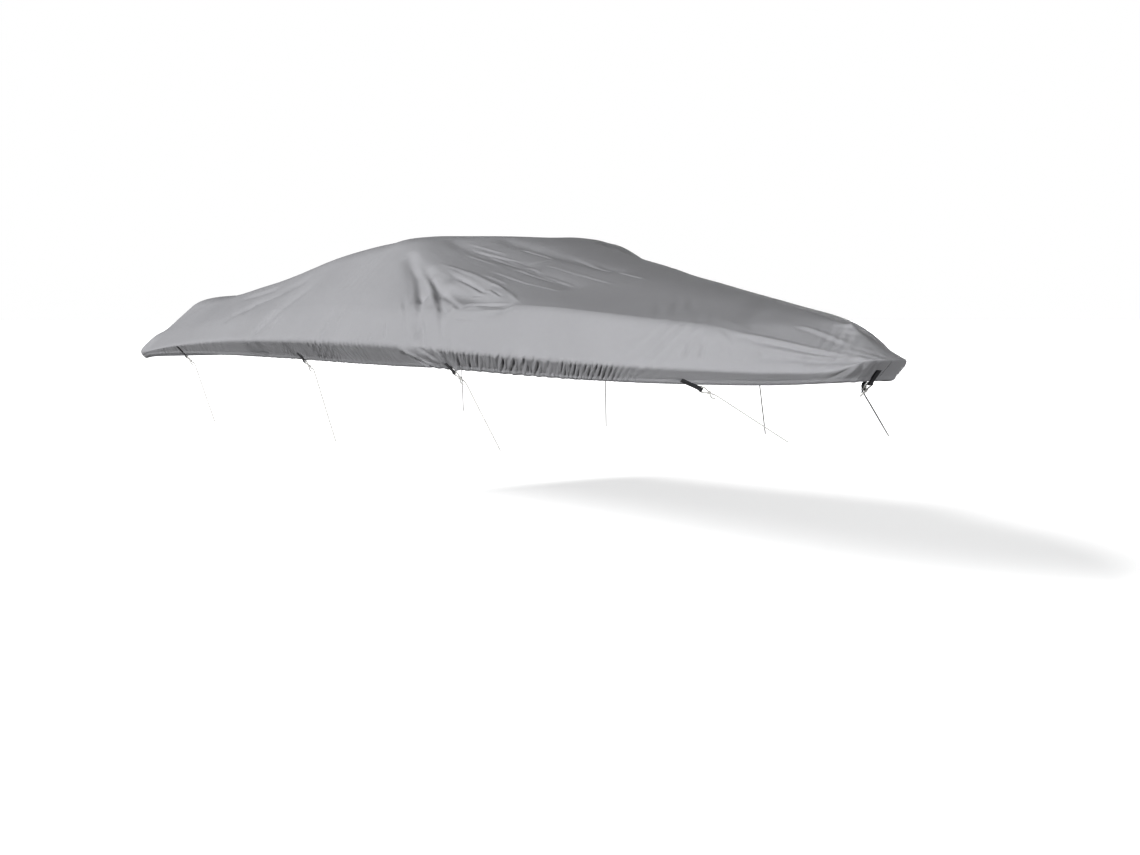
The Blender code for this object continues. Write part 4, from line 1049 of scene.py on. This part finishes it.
# ---- finishes ----
WHITE = (1, 1, 1, 1)


class Finish:
    """A new material: its shader, and the patterns that are laid on it."""

    def __init__(self, name, colour, settings):
        self.colour = colour
        self.material = bpy.data.materials.new(name)
        self.material.use_nodes = True
        self.nodes = self.material.node_tree.nodes
        self.links = self.material.node_tree.links
        self.shader = self.nodes["Principled BSDF"]
        self.shader.inputs["Base Color"].default_value = (*colour, 1)
        for setting, value in settings.items():
            self.shader.inputs[setting].default_value = value
        coordinate = self.nodes.new("ShaderNodeTexCoord")
        self.flat, self.place = coordinate.outputs["UV"], coordinate.outputs["Object"]

    def pattern(self, kind, coordinate, change, amount, scale):
        """A pattern's node on a coordinate that is first stretched or turned."""
        mapping, texture = self.nodes.new("ShaderNodeMapping"), self.nodes.new(kind)
        mapping.inputs[change].default_value = amount
        texture.inputs["Scale"].default_value = scale
        self.links.new(coordinate, mapping.inputs["Vector"])
        self.links.new(mapping.outputs["Vector"], texture.inputs["Vector"])
        return texture

    def noise(self, scale, detail, stretch=(1, 1, 1)):
        """Noise in space, finer along the axes that stretch is larger for."""
        texture = self.pattern("ShaderNodeTexNoise", self.place, "Scale", stretch, scale)
        texture.inputs["Detail"].default_value = detail
        return texture.outputs["Fac"]

    def threads(self, scale, direction, degrees=0):
        """Even threads across one direction of the flat cloth."""
        turn = (0, 0, math.radians(degrees))
        texture = self.pattern("ShaderNodeTexWave", self.flat, "Rotation", turn, scale)
        texture.bands_direction = direction
        return texture.outputs["Fac"]

    def added(self, first, second, share):
        """One pattern with a share of another."""
        node = self.nodes.new("ShaderNodeMath")
        node.operation = "MULTIPLY_ADD"
        node.inputs[1].default_value = share
        self.links.new(second, node.inputs[0])
        self.links.new(first, node.inputs[2])
        return node.outputs["Value"]

    def mottle(self, pattern, dark, light):
        """Takes the colour from a darker to a lighter share of itself with a pattern."""
        mix = self.nodes.new("ShaderNodeMix")
        mix.data_type = "RGBA"
        for end, share in (("A", dark), ("B", light)):
            tone = tuple(min(1.0, value * share) for value in self.colour)
            mix.inputs[end].default_value = (*tone, 1)
        self.links.new(pattern, mix.inputs["Factor"])
        self.links.new(mix.outputs["Result"], self.shader.inputs["Base Color"])

    def relief(self, height, depth):
        """Lays a pattern on the shader as relief of a depth in metres."""
        bump = self.nodes.new("ShaderNodeBump")
        bump.inputs["Distance"].default_value = depth
        self.links.new(height, bump.inputs["Height"])
        self.links.new(bump.outputs["Normal"], self.shader.inputs["Normal"])


def cover_cloth(colour):
    """Woven polyester: threads both ways, soft crumple, faint dust in broad patches."""
    cloth = Finish("cloth_grey", colour, {
        "Roughness": 0.82, "Sheen Weight": 0.06, "Sheen Roughness": 0.45,
        "Specular IOR Level": 0.15})
    broad, fine = cloth.noise(scale=2.3, detail=3), cloth.noise(scale=38, detail=4)
    cloth.mottle(cloth.added(broad, fine, share=0.35), dark=0.93, light=1.05)
    warp, weft = (cloth.threads(scale=330, direction=way) for way in "XY")
    crumple = cloth.noise(scale=26, detail=5, stretch=(0.7, 1, 1))
    weave = cloth.added(warp, weft, share=1)
    cloth.relief(cloth.added(weave, crumple, share=9), depth=0.00022)
    return cloth.material


def strap_webbing(colour):
    """Black webbing: a close slanting weave along its ribs, a little worn."""
    strap = Finish("webbing_black", colour, {"Roughness": 0.62, "Sheen Weight": 0.2})
    slant = strap.threads(scale=210, direction="X", degrees=38)
    across = strap.threads(scale=260, direction="Y")
    strap.relief(strap.added(slant, across, share=0.7), depth=0.00025)
    strap.mottle(strap.noise(scale=120, detail=3), dark=0.7, light=1.9)
    return strap.material


def tie_rope(colour):
    """White laid rope: fine threads along its strands, with a little dirt in patches."""
    rope = Finish("cord_white", colour, {"Roughness": 0.75, "Sheen Weight": 0.15})
    rope.mottle(rope.noise(scale=46, detail=4), dark=0.80, light=1.12)
    rope.relief(rope.noise(scale=1500, detail=2), depth=0.00025)
    return rope.material


def sewing_thread(colour):
    """Thread of the cloth's colour, twisted finely."""
    thread = Finish("thread_grey", colour, {"Roughness": 0.6})
    thread.mottle(thread.noise(scale=900, detail=2), dark=0.85, light=1.1)
    return thread.material


def floor_paint(colour):
    """A plain matt floor, faintly mottled, with a glow that lifts it to the sky's tone."""
    paint = Finish("floor_pale", colour, {
        "Roughness": 0.9, "Emission Color": WHITE, "Emission Strength": FLOOR_GLOW})
    paint.mottle(paint.noise(scale=0.4, detail=2), dark=0.99, light=1.01)
    return paint.material


MATERIALS = {}


def finish(maker, colour):
    """The material that a maker makes, made once."""
    if maker not in MATERIALS:
        MATERIALS[maker] = maker(tuple(colour))
    return MATERIALS[maker]


# ---- sizes and colours a user would change ----
def size_setting(name, use, default, least, most):
    """A length that a user may change."""
    return FloatProperty(name=name, description=use, default=default, min=least, max=most,
                         unit="LENGTH")


def colour_setting(name, use, default):
    """A colour that a user may change."""
    return FloatVectorProperty(name=name, description="Colour of " + use, default=default,
                               subtype="COLOR", min=0, max=1)


def strength_setting(name, use, default):
    """A light's strength, which a user may change."""
    return FloatProperty(name=name, description="Strength of the soft " + use, default=default,
                         min=0, max=20)


class BoatCoverSizes(bpy.types.PropertyGroup):
    """Sizes of the cover's finish."""

    cloth_thin: size_setting("Cloth thickness", "Thickness of the cover's cloth",
                             CLOTH_THIN, least=0.0004, most=0.003)
    cord_diameter: size_setting("Cord diameter", "Diameter of the tie cords",
                                CORD_THICK, least=0.004, most=0.008)


class BoatCoverColours(bpy.types.PropertyGroup):
    """Colours of the cover's materials and the strengths of the lights."""

    cloth: colour_setting("Cloth", "the cover's cloth", (0.33, 0.33, 0.342))
    webbing: colour_setting("Webbing", "the webbing loops", (0.020, 0.020, 0.023))
    cord: colour_setting("Cord", "the knots and tie cords", (0.50, 0.495, 0.48))
    thread: colour_setting("Thread", "the sewing thread", (0.36, 0.36, 0.37))
    floor: colour_setting("Floor", "the floor", (0.86, 0.86, 0.86))
    key_strength: strength_setting("Key light", "key light", 5.45)
    fill_strength: strength_setting("Fill light", "fill light from the bow side", 2.8)
    back_strength: strength_setting("Back light", "light from astern on the port side", 4.5)


# ---- the camera and the stage ----
CAMERA_PLACE = (7.03, -4.74, -0.466)
CAMERA_ALONG = (-0.815, 0.579)      # the way it looks, on the level
CAMERA_DOWN = 4.594         # and how far down, in degrees
CAMERA_LENS = 44.12         # millimetres
CAMERA_SENSOR = 36          # millimetres
CAMERA_REACH = 2000         # the furthest that it sees
GROUND = -2.066             # the height of the floor
FLOOR_REACH = 400.0         # its radius
FLOOR_SIDES = 96
FLOOR_GLOW = 0.70
CONTRAST = 0.78             # of the picture: darker halftones under 1
SKY_RISE = (-0.15, 0.35)    # the heights, of 1, between which the sky's light changes
SKY_LIGHT = (0.03, 0.05)    # and its strength at each
SKY_TINT = (0.97, 0.98, 1, 1)

# A row for each light: a soft sun's name, where it shines from and its width in degrees.
Light = namedtuple("Light", "name direction degrees")
LIGHTS = (
    Light("key", (0.08, -0.91, 0.41), 14),
    Light("fill", (0.93, 0.25, -0.26), 25),
    Light("back", (-0.55, 0.80, -0.04), 25),
)


def faces_to(thing, direction, axis):
    """Turns an object so that one of its axes points in a direction."""
    thing.rotation_mode = "QUATERNION"
    thing.rotation_quaternion = Vector(direction).to_track_quat(axis, "Y")


def make_light(light, strength):
    """A soft sun that shines from the light's direction."""
    data = bpy.data.lights.new(light.name, "SUN")
    data.energy = strength
    data.angle = math.radians(light.degrees)
    sun = bpy.data.objects.new(light.name, data)
    faces_to(sun, light.direction, "Z")
    bpy.context.scene.collection.objects.link(sun)


def make_camera():
    """The camera, at its place with its pitch, looking along the boat's side."""
    data = bpy.data.cameras.new("camera")
    data.lens = CAMERA_LENS
    data.sensor_width = CAMERA_SENSOR
    data.clip_end = CAMERA_REACH
    camera = bpy.data.objects.new("camera", data)
    down = math.radians(CAMERA_DOWN)
    ahead = np.array((*CAMERA_ALONG, 0)) / math.hypot(*CAMERA_ALONG) * math.cos(down)
    ahead[2] = -math.sin(down)
    camera.location = CAMERA_PLACE
    faces_to(camera, ahead, "-Z")
    bpy.context.scene.collection.objects.link(camera)
    bpy.context.scene.camera = camera


def make_sky():
    """A sky that is white to the camera, and to the cloth soft from above and dim below."""
    world = bpy.data.worlds.new("sky")
    bpy.context.scene.world = world
    world.use_nodes = True
    nodes, links = world.node_tree.nodes, world.node_tree.links
    nodes.clear()
    coordinate, parts, ramp, soft, plain, mix, path, out = (
        nodes.new("ShaderNode" + kind) for kind in (
            "TexCoord", "SeparateXYZ", "MapRange", "Background", "Background", "MixShader",
            "LightPath", "OutputWorld"))
    for end, rise, light in zip(("Min", "Max"), SKY_RISE, SKY_LIGHT):
        ramp.inputs["From " + end].default_value = rise
        ramp.inputs["To " + end].default_value = light
    soft.inputs["Color"].default_value = SKY_TINT
    plain.inputs["Color"].default_value = WHITE
    links.new(coordinate.outputs["Generated"], parts.inputs["Vector"])
    links.new(parts.outputs["Z"], ramp.inputs["Value"])
    links.new(ramp.outputs["Result"], soft.inputs["Strength"])
    links.new(path.outputs["Is Camera Ray"], mix.inputs["Fac"])
    links.new(soft.outputs["Background"], mix.inputs[1])
    links.new(plain.outputs["Background"], mix.inputs[2])
    links.new(mix.outputs["Shader"], out.inputs["Surface"])


def make_floor(material):
    """A wide pale floor that the camera sees, and that neither lights nor shades the cloth."""
    turn = np.linspace(0, 2 * math.pi, FLOOR_SIDES, endpoint=False)
    rim = np.stack([np.cos(turn) * FLOOR_REACH, np.sin(turn) * FLOOR_REACH,
                    np.full(FLOOR_SIDES, GROUND)], -1)
    mesh = bpy.data.meshes.new("floor")
    mesh.from_pydata(rim.tolist(), [], [tuple(range(FLOOR_SIDES))])
    mesh.materials.append(material)
    floor = bpy.data.objects.new("floor", mesh)
    floor.visible_diffuse = floor.visible_glossy = floor.visible_shadow = False
    bpy.context.scene.collection.objects.link(floor)


class Maker:
    """What the operators share: each makes its pieces with the scene's sizes and colours."""

    def execute(self, context):
        """Runs the operator."""
        self.make(context.scene.boat_cover_sizes, context.scene.boat_cover_colours)
        return {"FINISHED"}


class BOATCOVER_OT_stage(Maker, bpy.types.Operator):
    """Make the camera, the soft lights, the pale sky and the floor"""

    bl_idname = "boat_cover.stage"
    bl_label = "Stage"

    def make(self, sizes, colours):
        make_camera()
        for light in LIGHTS:
            make_light(light, getattr(colours, light.name + "_strength"))
        make_sky()
        bpy.context.scene.view_settings.view_transform = "Standard"
        bpy.context.scene.view_settings.gamma = CONTRAST
        make_floor(finish(floor_paint, colours.floor))


class BOATCOVER_OT_cords(Maker, bpy.types.Operator):
    """Make the eight tie cords"""

    bl_idname = "boat_cover.cords"
    bl_label = "Tie cords"

    def make(self, sizes, colours):
        rope = finish(tie_rope, colours.cord)
        for label, tie, side in side_ties():
            path = cord_path(tie, side)
            name = "cord_" + label
            cord = put(name, rope_mesh(name, path, sizes.cord_diameter), rope,
                       ["tie_cord_" + label])


class BOATCOVER_OT_knots(Maker, bpy.types.Operator):
    """Make the nine knots, each wound from one length of cord"""

    bl_idname = "boat_cover.knots"
    bl_label = "Knots"

    def make(self, sizes, colours):
        rope = finish(tie_rope, colours.cord)
        for label, tie, side in all_ties():
            name = "tied_" + label
            put(name, rope_mesh(name, knot_path(tie, side), sizes.cord_diameter), rope,
                ["knot_" + label])


class BOATCOVER_OT_straps(Maker, bpy.types.Operator):
    """Make the nine webbing loops"""

    bl_idname = "boat_cover.straps"
    bl_label = "Webbing loops"

    def make(self, sizes, colours):
        webbing = finish(strap_webbing, colours.webbing)
        for label, tie, side in all_ties():
            name = "strap_" + label
            put(name, strap_mesh(name, tie, side), webbing,
                ["webbing_loop_" + label])


class BOATCOVER_OT_sides(Maker, bpy.types.Operator):
    """Make the two side panels with their gathered skirts"""

    bl_idname = "boat_cover.sides"
    bl_label = "Side panels"

    def make(self, sizes, colours):
        cloth = finish(cover_cloth, colours.cloth)
        for side in (STARBOARD, PORT):
            name = "side_" + SIDE_NAMES[side]
            piece = put(name, made_mesh(name, *side_sheet(side)), cloth,
                        ["side_panel_" + SIDE_NAMES[side]])
            thicken(piece, sizes.cloth_thin)


class BOATCOVER_OT_top(Maker, bpy.types.Operator):
    """Make the top panel, from the shoulder seam over the crest"""

    bl_idname = "boat_cover.top"
    bl_label = "Top panel"

    def make(self, sizes, colours):
        piece = put("top", made_mesh("top", *top_sheet()), finish(cover_cloth, colours.cloth),
                    ["top_panel"])


class BOATCOVER_OT_sewing(Maker, bpy.types.Operator):
    """Make the stitches of the shoulder seams and of the hem's casing"""

    bl_idname = "boat_cover.sewing"
    bl_label = "Stitches"

    def make(self, sizes, colours):
        thread = finish(sewing_thread, colours.thread)
        for side in (STARBOARD, PORT):
            rows = [stitch_row(rise, side, SEAM_LEVELS, seam_height) for rise in SEAM_ROWS]
            rows.append(stitch_row(HEM_ROW, side, HEM_LEVELS, hem_height))
            name = "stitches_" + SIDE_NAMES[side]
            put(name, stitches_mesh(name, rows), thread, ())


class BOATCOVER_PT_panel(bpy.types.Panel):
    """Lists the pieces of the boat cover"""

    bl_label = "Boat cover"
    bl_idname = "BOATCOVER_PT_panel"
    bl_space_type = "VIEW_3D"
    bl_region_type = "UI"
    bl_category = "Boat cover"

    def draw(self, context):
        """Lays out a button for each operator and a field for each setting."""
        for maker in MAKERS:
            self.layout.operator(maker.bl_idname)
        for group in (context.scene.boat_cover_sizes, context.scene.boat_cover_colours):
            for name in group.__annotations__:
                self.layout.prop(group, name)


MAKERS = (BOATCOVER_OT_stage, BOATCOVER_OT_cords, BOATCOVER_OT_knots, BOATCOVER_OT_straps,
          BOATCOVER_OT_sides, BOATCOVER_OT_top, BOATCOVER_OT_sewing)
CLASSES = (BoatCoverSizes, BoatCoverColours, *MAKERS, BOATCOVER_PT_panel)


def register():
    """Adds the operators, the panel and the scene's settings."""
    for one in CLASSES:
        bpy.utils.register_class(one)
    bpy.types.Scene.boat_cover_sizes = PointerProperty(type=BoatCoverSizes)
    bpy.types.Scene.boat_cover_colours = PointerProperty(type=BoatCoverColours)


def unregister():
    """Takes them away again."""
    del bpy.types.Scene.boat_cover_colours
    del bpy.types.Scene.boat_cover_sizes
    for one in reversed(CLASSES):
        bpy.utils.unregister_class(one)


def main():
    """Makes the whole cover."""
    register()
    bpy.ops.boat_cover.stage()
    bpy.ops.boat_cover.cords()
    bpy.ops.boat_cover.knots()
    bpy.ops.boat_cover.straps()
    bpy.ops.boat_cover.sides()
    bpy.ops.boat_cover.top()
    bpy.ops.boat_cover.sewing()


if __name__ == "__main__":
    main()
